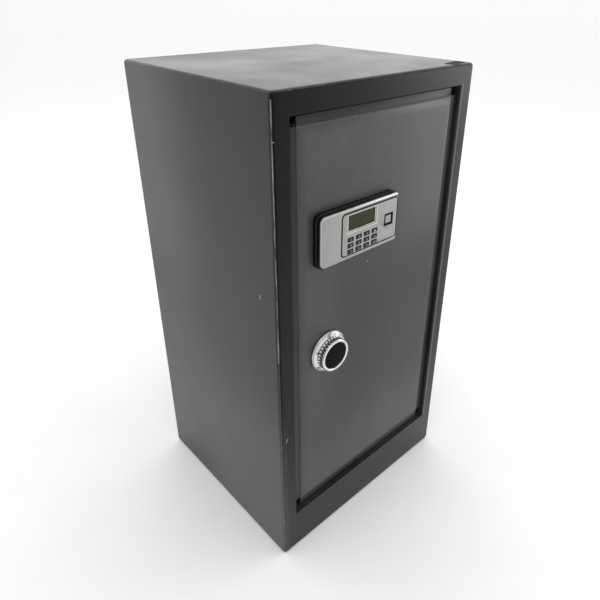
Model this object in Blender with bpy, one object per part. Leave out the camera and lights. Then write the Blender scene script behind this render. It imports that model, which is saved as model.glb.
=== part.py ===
"""Steel gun safe with one outward-opening door, an electronic keypad lock and a turning knob.

World frame, in metres: +Z up, underside of the body on Z = 0, X = Y = 0 at the middle of the
body, door facing -Y.  "Depth" below means the distance behind the front face of the frame.
Rest pose: door closed, bolts drawn back, plunger lifted, every key up.
"""
import math

import bmesh
import bpy
from mathutils import Vector

# ---------------------------------------------------------------- body
BODY_HALF_WIDTH = 0.206
BODY_HALF_DEPTH = 0.185
BODY_HEIGHT = 0.800
WALL = 0.003
BODY_EDGE = 0.006
FRONT = -BODY_HALF_DEPTH
OPEN_HALF_WIDTH = 0.178
OPEN_BOTTOM, OPEN_TOP = 0.083, 0.768
JAMB = 0.0025
SIDE_JAMB_DEPTH = 0.020
END_JAMB_DEPTH = 0.028
ANCHOR_RADIUS = 0.006
FLOOR_ANCHORS = [(-0.120, -0.100), (0.120, -0.100), (-0.120, 0.100), (0.120, 0.100)]
BACK_ANCHORS = [(-0.100, 0.620), (0.100, 0.620)]
FIT = 0.0003

# ---------------------------------------------------------------- door
PLATE_HALF_WIDTH = 0.1618
PLATE_BOTTOM, PLATE_TOP = 0.102, 0.753
PLATE_DEPTH = 0.0025
SHEET = 0.003
FLANGE_HALF_WIDTH = 0.175
FLANGE_BOTTOM, FLANGE_TOP = 0.0865, 0.765
FLANGE_DEPTH = 0.008
FLANGE_BACK = FLANGE_DEPTH + SHEET
BOX_LEFT, BOX_RIGHT = -0.164, 0.1675
BOX_BOTTOM, BOX_TOP = 0.0985, 0.756
BOX_FRONT = FLANGE_BACK + FIT
BOX_BACK = 0.045
BOX_WALL = 0.0025
BOX_LIP = 0.0115
COVER_BACK = BOX_BACK + FIT + 0.0015
SCREWS = [(-0.1565, 0.1065), (0.1600, 0.1065), (-0.1565, 0.7480), (0.1600, 0.7480)]
HINGE_X, HINGE_DEPTH = 0.160, 0.016
PIN_RADIUS = 0.004
PIN_BORE = 0.0041
COLLAR_RADIUS = 0.0065

# ---------------------------------------------------------------- bolt work
BOLT_HEIGHTS = {"bottom": 0.200, "middle": 0.442, "top": 0.680}
BOLT_RADIUS = 0.008
BOLT_DEPTH = 0.031
BOLT_TIP_X = -0.170
STRIKE_SLOT = 0.0095
CARRIAGE_X = -0.133
WEB_FRONT, WEB_BACK = 0.020, 0.023
GUIDE_PINS = {"lower": 0.300, "upper": 0.565}
GUIDE_X = -0.118

# ---------------------------------------------------------------- knob and pinion
KNOB_X, KNOB_Z = -0.108, 0.3955
MODULE = 0.002
PINION_TEETH = 14
PITCH_RADIUS = MODULE * PINION_TEETH / 2
BOLT_TRAVEL = PITCH_RADIUS * math.pi / 2
BACKLASH = 0.0005
GEAR_FRONT, GEAR_BACK = 0.0236, 0.0290
SPINDLE_RADIUS = 0.005
SPINDLE_BORE = 0.0051

# ---------------------------------------------------------------- solenoid
PLUNGER_X, PLUNGER_DEPTH = -0.085, 0.0215
PLUNGER_RADIUS = 0.004
PLUNGER_TIP = 0.4535
COIL_BOTTOM, COIL_TOP = 0.4712, 0.5030

# ---------------------------------------------------------------- keypad
PAD_X, PAD_Z = -0.056, 0.590
PAD_WIDTH, PAD_HEIGHT = 0.165, 0.083
PAD_FRONT = -0.0090
FACE_FRONT = -0.0120
COVER_FRONT = -0.0122
COVER_LEFT, COVER_RIGHT = -0.136, 0.0225
COVER_BOTTOM, COVER_TOP = 0.552, 0.629
FACE_LEFT, FACE_BOTTOM, FACE_TOP = -0.0965, 0.5575, 0.6235
LCD = (-0.0835, -0.0265, 0.5950, 0.6190)
KEY_COLUMNS = [-0.0783, -0.0615, -0.0447, -0.0279]
KEY_ROWS = [0.5817, 0.5723, 0.5629]
KEY_NAMES = [["key_1", "key_2", "key_3", "key_lock"],
             ["key_4", "key_5", "key_6", "key_0"],
             ["key_7", "key_8", "key_9", "key_enter"]]
KEY_WIDTH, KEY_HEIGHT = 0.0120, 0.0065
KEY_FRONT, KEY_BACK = -0.0130, -0.0046
BUTTON_X, BUTTON_Z, BUTTON_SIZE = 0.003, 0.591, 0.0146
LOCK_X, LOCK_Z = -0.112, 0.590
CABLE_X, CABLE_Z = -0.020, 0.590

# ---------------------------------------------------------------- battery box and reset button
BATTERY = (-0.030, 0.045, 0.500, 0.565)
BATTERY_FRONT = 0.025
RESET_X, RESET_Z = 0.075, 0.5325

# ---------------------------------------------------------------- inside
SHELF_TOP = 0.452
SHELF_FRONT_Y = -0.108


# ================================================================ helpers
def at(depth):
    """World Y of a point this far behind the front face of the frame."""
    return FRONT + depth


def make_object(name, bm):
    bmesh.ops.recalc_face_normals(bm, faces=bm.faces)
    mesh = bpy.data.meshes.new(name)
    bm.to_mesh(mesh)
    bm.free()
    obj = bpy.data.objects.new(name, mesh)
    bpy.context.scene.collection.objects.link(obj)
    return obj


def box(name, x, y, z, edges=None, radius=0.0, segments=2):
    """Axis-aligned box; `edges(a, b)` picks the edges that are rounded."""
    bm = bmesh.new()
    bmesh.ops.create_cube(bm, size=1.0)
    for v in bm.verts:
        v.co = Vector((x[0] if v.co.x < 0 else x[1],
                       y[0] if v.co.y < 0 else y[1],
                       z[0] if v.co.z < 0 else z[1]))
    if edges:
        picked = [e for e in bm.edges if edges(e.verts[0].co, e.verts[1].co)]
        bmesh.ops.bevel(bm, geom=picked, offset=radius, segments=segments, profile=0.5,
                        affect="EDGES", clamp_overlap=True)
    return make_object(name, bm)


def sheet(name, outline, depth, chamfer=0.0, segments=2):
    """Flat piece parallel to the door: outline in (x, z), extruded between two depths."""
    bm = bmesh.new()
    front, back = at(depth[0]), at(depth[1])
    ring = [bm.verts.new((px, front, pz)) for px, pz in outline]
    face = bm.faces.new(ring)
    extruded = bmesh.ops.extrude_face_region(bm, geom=[face])
    for item in extruded["geom"]:
        if isinstance(item, bmesh.types.BMVert):
            item.co.y = back
    if chamfer:
        edges = [e for e in bm.edges
                 if all(abs(v.co.y - min(front, back)) < 1e-7 for v in e.verts)]
        bmesh.ops.bevel(bm, geom=edges, offset=chamfer, segments=segments, profile=0.5,
                        affect="EDGES", clamp_overlap=True)
    return make_object(name, bm)


def rectangle(x0, x1, z0, z1):
    return [(x0, z0), (x1, z0), (x1, z1), (x0, z1)]


def rounded(x0, x1, z0, z1, radii, steps=5):
    """Rectangle with its own radius at each corner: lower left, lower right, upper right, left."""
    points = []
    corners = [(x0, z0, 1, 1, 180), (x1, z0, -1, 1, 270), (x1, z1, -1, -1, 0), (x0, z1, 1, -1, 90)]
    for (cx, cz, sx, sz, start), r in zip(corners, radii):
        if r <= 0.0:
            points.append((cx, cz))
            continue
        for i in range(steps + 1):
            a = math.radians(start + 90.0 * i / steps)
            points.append((cx + sx * r + r * math.cos(a), cz + sz * r + r * math.sin(a)))
    return points


def turned(name, profile, centre, axis, segments=24, bored=False):
    """Solid of revolution.  Profile rows are (radius, position along the axis)."""
    bm = bmesh.new()
    rings = []
    for radius, along in profile:
        ring = []
        for i in range(segments):
            a = 2.0 * math.pi * i / segments
            c, s = radius * math.cos(a), radius * math.sin(a)
            if axis == "X":
                point = (along, centre[0] + c, centre[1] + s)
            elif axis == "Y":
                point = (centre[0] + c, along, centre[1] + s)
            else:
                point = (centre[0] + c, centre[1] + s, along)
            ring.append(bm.verts.new(point))
        rings.append(ring)
    pairs = list(zip(rings, rings[1:]))
    if bored:
        pairs.append((rings[-1], rings[0]))
    for low, high in pairs:
        for i in range(segments):
            j = (i + 1) % segments
            bm.faces.new((low[i], low[j], high[j], high[i]))
    if not bored:
        bm.faces.new(rings[0])
        bm.faces.new(rings[-1])
    return make_object(name, bm)


def rod(name, radius, span, centre, axis, segments=20):
    return turned(name, [(radius, span[0]), (radius, span[1])], centre, axis, segments)


def combine(target, tool, operation):
    """Bake one exact boolean into the target and drop the tool."""
    tool.hide_render = True
    tool.display_type = "WIRE"
    step = target.modifiers.new("step", "BOOLEAN")
    step.operation = operation
    step.solver = "EXACT"
    step.object = tool
    graph = bpy.context.evaluated_depsgraph_get()
    baked = bpy.data.meshes.new_from_object(target.evaluated_get(graph))
    target.modifiers.clear()
    spent = target.data
    target.data = baked
    bpy.data.meshes.remove(spent)
    bpy.data.objects.remove(tool)
    return target


def cut(target, tool):
    return combine(target, tool, "DIFFERENCE")


def weld(target, tool):
    return combine(target, tool, "UNION")


def drill(target, radius, span, centre, axis, segments=20):
    return cut(target, rod("drill", radius, span, centre, axis, segments))


def window(target, x, z, depth):
    return cut(target, sheet("window", rectangle(x[0], x[1], z[0], z[1]), depth))


PAINTS = {}


def paint(name, colour, metallic, roughness):
    if name not in PAINTS:
        material = bpy.data.materials.new(name)
        material.use_nodes = True
        shader = material.node_tree.nodes["Principled BSDF"]
        shader.inputs["Base Color"].default_value = (*colour, 1.0)
        shader.inputs["Metallic"].default_value = metallic
        shader.inputs["Roughness"].default_value = roughness
        material.diffuse_color = (*colour, 1.0)
        PAINTS[name] = material
    return PAINTS[name]


def finish(obj, material, axis_empty=None, origin=None):
    """Give the piece its material, its own origin and its place under a joint axis."""
    colour, metallic, roughness = FINISHES[material]
    obj.data.materials.clear()
    obj.data.materials.append(paint(obj.name + "_" + material, colour, metallic, roughness))
    parent_at = Vector(AXES[axis_empty][0]) if axis_empty else Vector((0.0, 0.0, 0.0))
    spot = Vector(origin) if origin else parent_at
    for v in obj.data.vertices:
        v.co -= spot
    obj.location = spot - parent_at
    if axis_empty:
        obj.parent = EMPTIES[axis_empty]
    return obj


FINISHES = {
    "charcoal_paint": ((0.035, 0.036, 0.038), 0.1, 0.42),
    "zinc_steel": ((0.55, 0.56, 0.57), 0.9, 0.35),
    "bright_steel": ((0.66, 0.67, 0.68), 1.0, 0.22),
    "chrome": ((0.78, 0.79, 0.80), 1.0, 0.10),
    "brass": ((0.72, 0.55, 0.27), 1.0, 0.30),
    "copper": ((0.62, 0.30, 0.16), 0.8, 0.40),
    "black_plastic": ((0.012, 0.012, 0.013), 0.0, 0.35),
    "silver_plastic": ((0.52, 0.53, 0.53), 0.35, 0.38),
    "red_plastic": ((0.45, 0.03, 0.02), 0.0, 0.40),
    "lcd_glass": ((0.050, 0.055, 0.035), 0.0, 0.12),
    "green_board": ((0.02, 0.16, 0.06), 0.0, 0.45),
    "grey_felt": ((0.09, 0.09, 0.10), 0.0, 0.95),
}

# name of the joint axis: (point on it, name of the axis that carries it)
AXES = {
    "door_axis": ((HINGE_X, at(HINGE_DEPTH), OPEN_BOTTOM), None),
    "bolt_work_axis": ((CARRIAGE_X, at(BOLT_DEPTH), BOLT_HEIGHTS["middle"]), "door_axis"),
    "knob_axis": ((KNOB_X, at(0.0), KNOB_Z), "door_axis"),
    "plunger_axis": ((PLUNGER_X, at(PLUNGER_DEPTH), PLUNGER_TIP), "door_axis"),
    "lock_axis": ((LOCK_X, at(0.0), LOCK_Z), "door_axis"),
    "key_cover_axis": ((COVER_LEFT, at(COVER_FRONT), PAD_Z), "door_axis"),
    "button_axis": ((BUTTON_X, at(KEY_BACK), BUTTON_Z), "door_axis"),
    "battery_lid_axis": ((0.0075, at(0.0495), BATTERY[3]), "door_axis"),
    "reset_axis": ((RESET_X, at(0.048), RESET_Z), "door_axis"),
}
for row_names, row_z in zip(KEY_NAMES, KEY_ROWS):
    for key_name, column_x in zip(row_names, KEY_COLUMNS):
        AXES[key_name + "_axis"] = ((column_x, at(KEY_BACK), row_z), "door_axis")
EMPTIES = {}


def build_axes():
    for name, (point, carrier) in AXES.items():
        empty = bpy.data.objects.new(name, None)
        empty.empty_display_size = 0.02
        bpy.context.scene.collection.objects.link(empty)
        base = Vector(AXES[carrier][0]) if carrier else Vector((0.0, 0.0, 0.0))
        empty.location = Vector(point) - base
        if carrier:
            empty.parent = EMPTIES[carrier]
        EMPTIES[name] = empty


# ================================================================ body
def build_body():
    front_and_long = (lambda a, b: not (a.y > 0 and b.y > 0))
    shell = box("body_shell", (-BODY_HALF_WIDTH, BODY_HALF_WIDTH), (FRONT, BODY_HALF_DEPTH),
                (0.0, BODY_HEIGHT), front_and_long, BODY_EDGE, 5)
    inside = BODY_HALF_WIDTH - WALL
    cut(shell, box("cavity", (-inside, inside), (at(WALL), BODY_HALF_DEPTH + 0.02),
                   (WALL, BODY_HEIGHT - WALL)))
    # The folded edge of the frame runs back into the body all round the opening.
    jamb_x = OPEN_HALF_WIDTH + JAMB
    weld(shell, box("jamb", (-jamb_x, jamb_x), (at(0.0015), at(END_JAMB_DEPTH)),
                    (OPEN_BOTTOM - JAMB, OPEN_TOP + JAMB)))
    window(shell, (-OPEN_HALF_WIDTH, OPEN_HALF_WIDTH), (OPEN_BOTTOM, OPEN_TOP), (-0.01, 0.06))
    for side in (-1, 1):
        span = sorted((side * (OPEN_HALF_WIDTH - 0.001), side * (jamb_x + 0.001)))
        window(shell, span, (OPEN_BOTTOM, OPEN_TOP), (SIDE_JAMB_DEPTH, END_JAMB_DEPTH + 0.005))
    for low, high in ((OPEN_BOTTOM - 0.01, OPEN_BOTTOM + 0.005), (OPEN_TOP - 0.005, OPEN_TOP + 0.01)):
        drill(shell, PIN_BORE, (low, high), (HINGE_X, at(HINGE_DEPTH)), "Z")
    for ax, ay in FLOOR_ANCHORS:
        drill(shell, ANCHOR_RADIUS, (-0.01, 0.01), (ax, ay), "Z")
    finish(shell, "charcoal_paint")

    back = box("back_plate", (-inside + 0.0005, inside - 0.0005),
               (BODY_HALF_DEPTH - WALL, BODY_HALF_DEPTH), (WALL + 0.0005, BODY_HEIGHT - WALL - 0.0005))
    for ax, az in BACK_ANCHORS:
        drill(back, ANCHOR_RADIUS, (0.170, 0.200), (ax, az), "Y")
    finish(back, "charcoal_paint", origin=(0.0, BODY_HALF_DEPTH, BODY_HEIGHT / 2))

    for name, low, high in (("hinge_block_top", OPEN_TOP + JAMB + FIT, 0.786),
                            ("hinge_block_bottom", 0.0655, OPEN_BOTTOM - JAMB - FIT)):
        block = box(name, (0.148, 0.172), (at(0.0045), at(0.027)), (low, high),
                    lambda a, b: abs(a.z - b.z) > 1e-4, 0.002, 2)
        drill(block, PIN_BORE, (low - 0.01, high + 0.01), (HINGE_X, at(HINGE_DEPTH)), "Z")
        finish(block, "zinc_steel", origin=(HINGE_X, at(HINGE_DEPTH), (low + high) / 2))

    strike = box("bolt_strike", (-0.1840, -0.1810), (at(0.005), at(0.046)), (0.150, 0.730))
    for height in BOLT_HEIGHTS.values():
        depth = (at(BOLT_DEPTH - STRIKE_SLOT), at(BOLT_DEPTH + STRIKE_SLOT))
        cut(strike, box("slot", (-0.19, -0.175), depth, (height - STRIKE_SLOT, height + STRIKE_SLOT)))
    finish(strike, "charcoal_paint", origin=(-0.1825, at(0.0255), 0.440))

    for name, side in (("shelf_rail_left", -1), ("shelf_rail_right", 1)):
        wall_x, toe = side * (inside - FIT), side * (inside - 0.018)
        web_x = side * (inside - FIT - 0.002)
        top = SHELF_TOP - 0.0020 - FIT
        rail = box(name, sorted((web_x, wall_x)), (-0.100, 0.170), (top - 0.018, top))
        weld(rail, box("toe", sorted((toe, side * (inside - FIT - 0.001))), (-0.100, 0.170),
                       (top - 0.002, top)))
        finish(rail, "charcoal_paint", origin=(wall_x, 0.035, top))

    shelf_x = inside - 0.0035
    shelf = box("shelf", (-shelf_x, shelf_x), (SHELF_FRONT_Y, 0.1785), (SHELF_TOP - 0.002, SHELF_TOP))
    weld(shelf, box("lip", (-shelf_x, shelf_x), (SHELF_FRONT_Y, SHELF_FRONT_Y + 0.002),
                    (SHELF_TOP - 0.020, SHELF_TOP - 0.001)))
    weld(shelf, box("upstand", (-shelf_x, shelf_x), (0.1765, 0.1785),
                    (SHELF_TOP - 0.001, SHELF_TOP + 0.012)))
    finish(shelf, "charcoal_paint", origin=(0.0, 0.035, SHELF_TOP))

    mat = box("floor_mat", (-0.200, 0.200), (at(0.006), 0.179), (WALL + FIT, WALL + FIT + 0.004),
              lambda a, b: abs(a.z - b.z) > 1e-4, 0.006, 3)
    finish(mat, "grey_felt", origin=(0.0, 0.0, WALL))


# ================================================================ door
def build_door():
    pan = box("door_pan", (-PLATE_HALF_WIDTH, PLATE_HALF_WIDTH), (at(PLATE_DEPTH), at(FLANGE_BACK)),
              (PLATE_BOTTOM, PLATE_TOP), lambda a, b: a.y < at(0.003) and b.y < at(0.003), 0.0025, 3)
    flange = sheet("flange", rectangle(-FLANGE_HALF_WIDTH, FLANGE_HALF_WIDTH, FLANGE_BOTTOM, FLANGE_TOP),
                   (FLANGE_DEPTH, FLANGE_BACK))
    # The four flanges are folded from one blank, so the corners between them stay open.
    for x0, x1 in ((-0.2, -PLATE_HALF_WIDTH), (PLATE_HALF_WIDTH, 0.2)):
        for z0, z1 in ((0.05, PLATE_BOTTOM), (PLATE_TOP, 0.80)):
            window(flange, (x0, x1), (z0, z1), (0.0, 0.02))
    weld(pan, flange)
    window(pan, (-PLATE_HALF_WIDTH + SHEET, PLATE_HALF_WIDTH - SHEET),
           (PLATE_BOTTOM + SHEET, PLATE_TOP - SHEET), (PLATE_DEPTH + SHEET, 0.02))
    through = (at(-0.01), at(0.02))
    drill(pan, 0.0066, through, (KNOB_X, KNOB_Z), "Y")
    drill(pan, 0.0093, through, (LOCK_X, LOCK_Z), "Y")
    drill(pan, 0.0070, through, (CABLE_X, CABLE_Z), "Y")
    finish(pan, "charcoal_paint", "door_axis", (0.0, at(PLATE_DEPTH), 0.4275))

    ring = box("bolt_box", (BOX_LEFT, BOX_RIGHT), (at(BOX_FRONT), at(BOX_BACK)), (BOX_BOTTOM, BOX_TOP),
               lambda a, b: abs(a.y - b.y) > 1e-4, 0.003, 2)
    window(ring, (BOX_LEFT + BOX_WALL, BOX_RIGHT - BOX_WALL), (BOX_BOTTOM + BOX_WALL, BOX_TOP - BOX_WALL),
           (0.0, BOX_BACK - BOX_WALL))
    window(ring, (BOX_LEFT + BOX_WALL + BOX_LIP, BOX_RIGHT - BOX_WALL - BOX_LIP),
           (BOX_BOTTOM + BOX_WALL + BOX_LIP, BOX_TOP - BOX_WALL - BOX_LIP), (0.03, 0.06))
    for height in BOLT_HEIGHTS.values():
        drill(ring, BOLT_RADIUS + 0.0004, (BOX_LEFT - 0.01, BOX_LEFT + 0.01), (at(BOLT_DEPTH), height), "X")
    for z0, z1 in ((BOX_BOTTOM - 0.01, BOX_BOTTOM + 0.01), (BOX_TOP - 0.01, BOX_TOP + 0.01)):
        drill(ring, PIN_RADIUS + FIT, (z0, z1), (HINGE_X, at(HINGE_DEPTH)), "Z")
    cover = sheet("door_back_cover",
                  rounded(BOX_LEFT, BOX_RIGHT, BOX_BOTTOM, BOX_TOP, (0.006,) * 4, 3),
                  (BOX_BACK + FIT, COVER_BACK))
    for sx, sz in SCREWS:
        drill(ring, 0.0018, (at(0.035), at(0.055)), (sx, sz), "Y", 16)
        drill(cover, 0.0018, (at(0.035), at(0.055)), (sx, sz), "Y", 16)
    finish(ring, "charcoal_paint", "door_axis", (0.0, at(BOX_BACK), 0.4275))
    x0, x1, z0, z1 = BATTERY
    window(cover, (x0 - 0.0005, x1 + 0.0005), (z0 - 0.0005, z1 + 0.0005), (0.03, 0.06))
    drill(cover, 0.0044, (at(0.035), at(0.055)), (RESET_X, RESET_Z), "Y")
    finish(cover, "charcoal_paint", "door_axis", (0.0, at(COVER_BACK), 0.4275))
    for i, (sx, sz) in enumerate(SCREWS, 1):
        head = COVER_BACK + FIT
        profile = [(0.0012, at(0.0385)), (0.0015, at(0.0400)), (0.0015, at(head)), (0.0038, at(head)),
                   (0.0036, at(head + 0.0012)), (0.0022, at(head + 0.0020))]
        screw = turned("cover_screw_%d" % i, profile, (sx, sz), "Y", 12)
        cut(screw, box("slot", (sx - 0.0028, sx + 0.0028), (at(head + 0.0011), at(head + 0.0030)),
                       (sz - 0.0005, sz + 0.0005)))
        finish(screw, "zinc_steel", "door_axis", (sx, at(head), sz))

    bar = box("anti_pry_bar", (BOX_RIGHT + FIT, BOX_RIGHT + 0.0033), (at(0.024), at(0.043)), (0.140, 0.720))
    weld(bar, box("blade", (BOX_RIGHT + 0.0020, 0.190), (at(0.024), at(0.027)), (0.140, 0.720)))
    finish(bar, "zinc_steel", "door_axis", (BOX_RIGHT, at(0.024), 0.430))

    hinge = (HINGE_X, at(HINGE_DEPTH))
    top = [(PIN_RADIUS, 0.740), (PIN_RADIUS, FLANGE_TOP + FIT), (COLLAR_RADIUS, FLANGE_TOP + FIT),
           (COLLAR_RADIUS, OPEN_TOP - FIT), (PIN_RADIUS, OPEN_TOP - FIT), (PIN_RADIUS, 0.783),
           (0.003, 0.784)]
    low = [(0.003, 0.0675), (PIN_RADIUS, 0.0685), (PIN_RADIUS, OPEN_BOTTOM + FIT),
           (COLLAR_RADIUS, OPEN_BOTTOM + FIT), (COLLAR_RADIUS, FLANGE_BOTTOM - FIT),
           (PIN_RADIUS, FLANGE_BOTTOM - FIT), (PIN_RADIUS, 0.114)]
    finish(turned("hinge_pin_top", top, hinge, "Z", 20), "bright_steel", "door_axis", (*hinge, OPEN_TOP))
    finish(turned("hinge_pin_bottom", low, hinge, "Z", 20), "bright_steel", "door_axis",
           (*hinge, OPEN_BOTTOM))

    for name, height in GUIDE_PINS.items():
        inner = PLATE_DEPTH + SHEET + FIT
        profile = [(0.0075, at(inner)), (0.0075, at(inner + 0.002)), (0.0035, at(inner + 0.002)),
                   (0.0035, at(WEB_BACK + 0.0004)), (0.0065, at(WEB_BACK + 0.0004)),
                   (0.0065, at(WEB_BACK + 0.0026))]
        finish(turned("guide_pin_" + name, profile, (GUIDE_X, height), "Y", 20), "bright_steel",
               "door_axis", (GUIDE_X, at(inner), height))


# ================================================================ bolt work
def rack_outline():
    """Rack teeth point down at the pinion; one tooth stands over the knob axis at rest."""
    pitch = math.pi * MODULE
    line = KNOB_Z + PITCH_RADIUS
    slope = math.tan(math.radians(20.0))
    tip, root = line - MODULE, line + 1.25 * MODULE
    half = pitch / 4 - BACKLASH / 2
    points = []
    for k in range(-2, 6):
        centre = KNOB_X + k * pitch
        wide, narrow = half + (root - line) * slope, half - (line - tip) * slope
        points += [(centre - wide, root), (centre - narrow, tip), (centre + narrow, tip),
                   (centre + wide, root)]
    left, right, top = points[0][0] - 0.002, points[-1][0] + 0.002, root + 0.008
    return [(left, top), (left, root)] + points + [(right, root), (right, top)]


def build_bolt_work():
    axis = "bolt_work_axis"
    web = [(-0.1325, 0.170), (-0.106, 0.170), (-0.106, 0.285), (-0.088, 0.285), (-0.088, 0.315),
           (-0.106, 0.315), (-0.106, 0.365), (-0.070, 0.365), (-0.070, 0.452), (-0.078, 0.452),
           (-0.078, 0.435), (-0.106, 0.435), (-0.106, 0.550), (-0.088, 0.550), (-0.088, 0.580),
           (-0.106, 0.580), (-0.106, 0.710), (-0.1325, 0.710)]
    carriage = sheet("bolt_carriage", web, (WEB_FRONT, WEB_BACK))
    weld(carriage, box("flange", (CARRIAGE_X, CARRIAGE_X + 0.003), (at(0.0205), at(0.041)),
                       (0.1705, 0.7095)))
    for height in GUIDE_PINS.values():
        cut(carriage, sheet("slot", rounded(-0.1225, -0.0915, height - 0.004, height + 0.004,
                                            (0.0039,) * 4, 3), (0.01, 0.03)))
    cut(carriage, sheet("slot", rounded(-0.1145, -0.0795, KNOB_Z - 0.0065, KNOB_Z + 0.0065,
                                        (0.006,) * 4, 3), (0.01, 0.03)))
    weld(carriage, sheet("rack", rack_outline(), (WEB_BACK - 0.001, GEAR_BACK)))
    for height in BOLT_HEIGHTS.values():
        drill(carriage, 0.0043, (CARRIAGE_X - 0.01, CARRIAGE_X + 0.01), (at(BOLT_DEPTH), height), "X")
    finish(carriage, "zinc_steel", axis)

    for name, height in BOLT_HEIGHTS.items():
        seat, clamp = CARRIAGE_X - FIT, CARRIAGE_X + 0.003 + FIT
        profile = [(BOLT_RADIUS - 0.0015, BOLT_TIP_X), (BOLT_RADIUS, BOLT_TIP_X + 0.0015),
                   (BOLT_RADIUS, seat), (0.004, seat), (0.004, clamp), (0.0068, clamp),
                   (0.0068, clamp + 0.005), (0.0035, clamp + 0.005), (0.0035, clamp + 0.008)]
        bolt = turned("live_bolt_" + name, profile, (at(BOLT_DEPTH), height), "X", 20)
        finish(bolt, "bright_steel", axis, (BOLT_TIP_X, at(BOLT_DEPTH), height))


# ================================================================ knob
def pinion_outline():
    """Involute teeth with a tooth space straight up, where the rack tooth sits at rest."""
    base = PITCH_RADIUS * math.cos(math.radians(20.0))
    outer, root = PITCH_RADIUS + MODULE, PITCH_RADIUS - 1.25 * MODULE

    def roll(radius):
        ratio = math.sqrt(max((radius / base) ** 2 - 1.0, 0.0))
        return ratio - math.atan(ratio)

    half_pitch = (math.pi / 2 * MODULE - BACKLASH / 2) / PITCH_RADIUS / 2
    half_base = half_pitch + roll(PITCH_RADIUS)
    radii = [base, base + 0.35 * (outer - base), base + 0.7 * (outer - base), outer]
    points = []
    for i in range(PINION_TEETH):
        centre = math.pi / 2 + (i + 0.5) * 2 * math.pi / PINION_TEETH
        flank = [(root, centre - half_base)] + [(r, centre - half_base + roll(r)) for r in radii]
        flank += [(r, centre + half_base - roll(r)) for r in reversed(radii)] + [(root, centre + half_base)]
        points += [(KNOB_X + r * math.cos(a), KNOB_Z + r * math.sin(a)) for r, a in flank]
    return points


def build_knob():
    axis, centre = "knob_axis", (KNOB_X, KNOB_Z)
    plate = PLATE_DEPTH - FIT
    rim = [(0.0090, at(plate)), (0.0350, at(plate)), (0.0350, at(-0.0010)), (0.0334, at(-0.0028)),
           (0.0318, at(-0.0034)), (0.0312, at(-0.0052)), (0.0295, at(-0.0061)), (0.0090, at(-0.0061))]
    finish(turned("knob_escutcheon", rim, centre, "Y", 36, True), "chrome", "door_axis",
           (KNOB_X, at(plate), KNOB_Z))
    bush = [(SPINDLE_BORE, at(0.0085)), (0.0062, at(0.0085)), (0.0062, at(0.0020)),
            (0.0086, at(0.0020)), (0.0086, at(-0.0056)), (SPINDLE_BORE, at(-0.0056))]
    finish(turned("spindle_bush", bush, centre, "Y", 20, True), "brass", "door_axis",
           (KNOB_X, at(0.002), KNOB_Z))

    barrel = [(SPINDLE_BORE, at(-0.0064)), (0.0290, at(-0.0064)), (0.0286, at(-0.0082)),
              (0.0266, at(-0.0092)), (0.0264, at(-0.0172)), (0.0256, at(-0.0180)), (0.0234, at(-0.0180)),
              (0.0226, at(-0.0172)), (0.0226, at(-0.0135)), (SPINDLE_BORE, at(-0.0135))]
    knob = turned("knob_barrel", barrel, centre, "Y", 36, True)
    finish(knob, "chrome", axis)
    cap = [(0.0222, at(-0.0138)), (0.0222, at(-0.0166)), (0.0216, at(-0.0172)), (0.0120, at(-0.0174))]
    finish(turned("knob_cap", cap, centre, "Y", 36), "black_plastic", axis)
    shaft = [(0.0044, at(-0.0132)), (SPINDLE_RADIUS, at(-0.0126)), (SPINDLE_RADIUS, at(0.0325)),
             (0.0042, at(0.0335))]
    finish(turned("knob_spindle", shaft, centre, "Y", 20), "bright_steel", axis)
    pinion = sheet("drive_pinion", pinion_outline(), (GEAR_FRONT, GEAR_BACK))
    weld(pinion, rod("hub", 0.0085, (at(GEAR_BACK - 0.001), at(0.0325)), centre, "Y"))
    drill(pinion, SPINDLE_BORE, (at(0.01), at(0.05)), centre, "Y")
    finish(pinion, "bright_steel", axis)


# ================================================================ solenoid
def coil_spring(name, centre, radius, wire, span, turns, per_turn=12, sides=4):
    bm = bmesh.new()
    steps = int(turns * per_turn)
    rings = []
    for i in range(steps + 1):
        a = 2 * math.pi * i / per_turn
        z = span[0] + (span[1] - span[0]) * i / steps
        outward = Vector((math.cos(a), math.sin(a), 0.0))
        middle = Vector((centre[0], centre[1], z)) + outward * radius
        ring = []
        for j in range(sides):
            b = 2 * math.pi * j / sides
            ring.append(bm.verts.new(middle + outward * wire * math.cos(b)
                                     + Vector((0.0, 0.0, wire * math.sin(b)))))
        rings.append(ring)
    for low, high in zip(rings, rings[1:]):
        for j in range(sides):
            k = (j + 1) % sides
            bm.faces.new((low[j], low[k], high[k], high[j]))
    bm.faces.new(rings[0])
    bm.faces.new(rings[-1])
    return make_object(name, bm)


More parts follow.
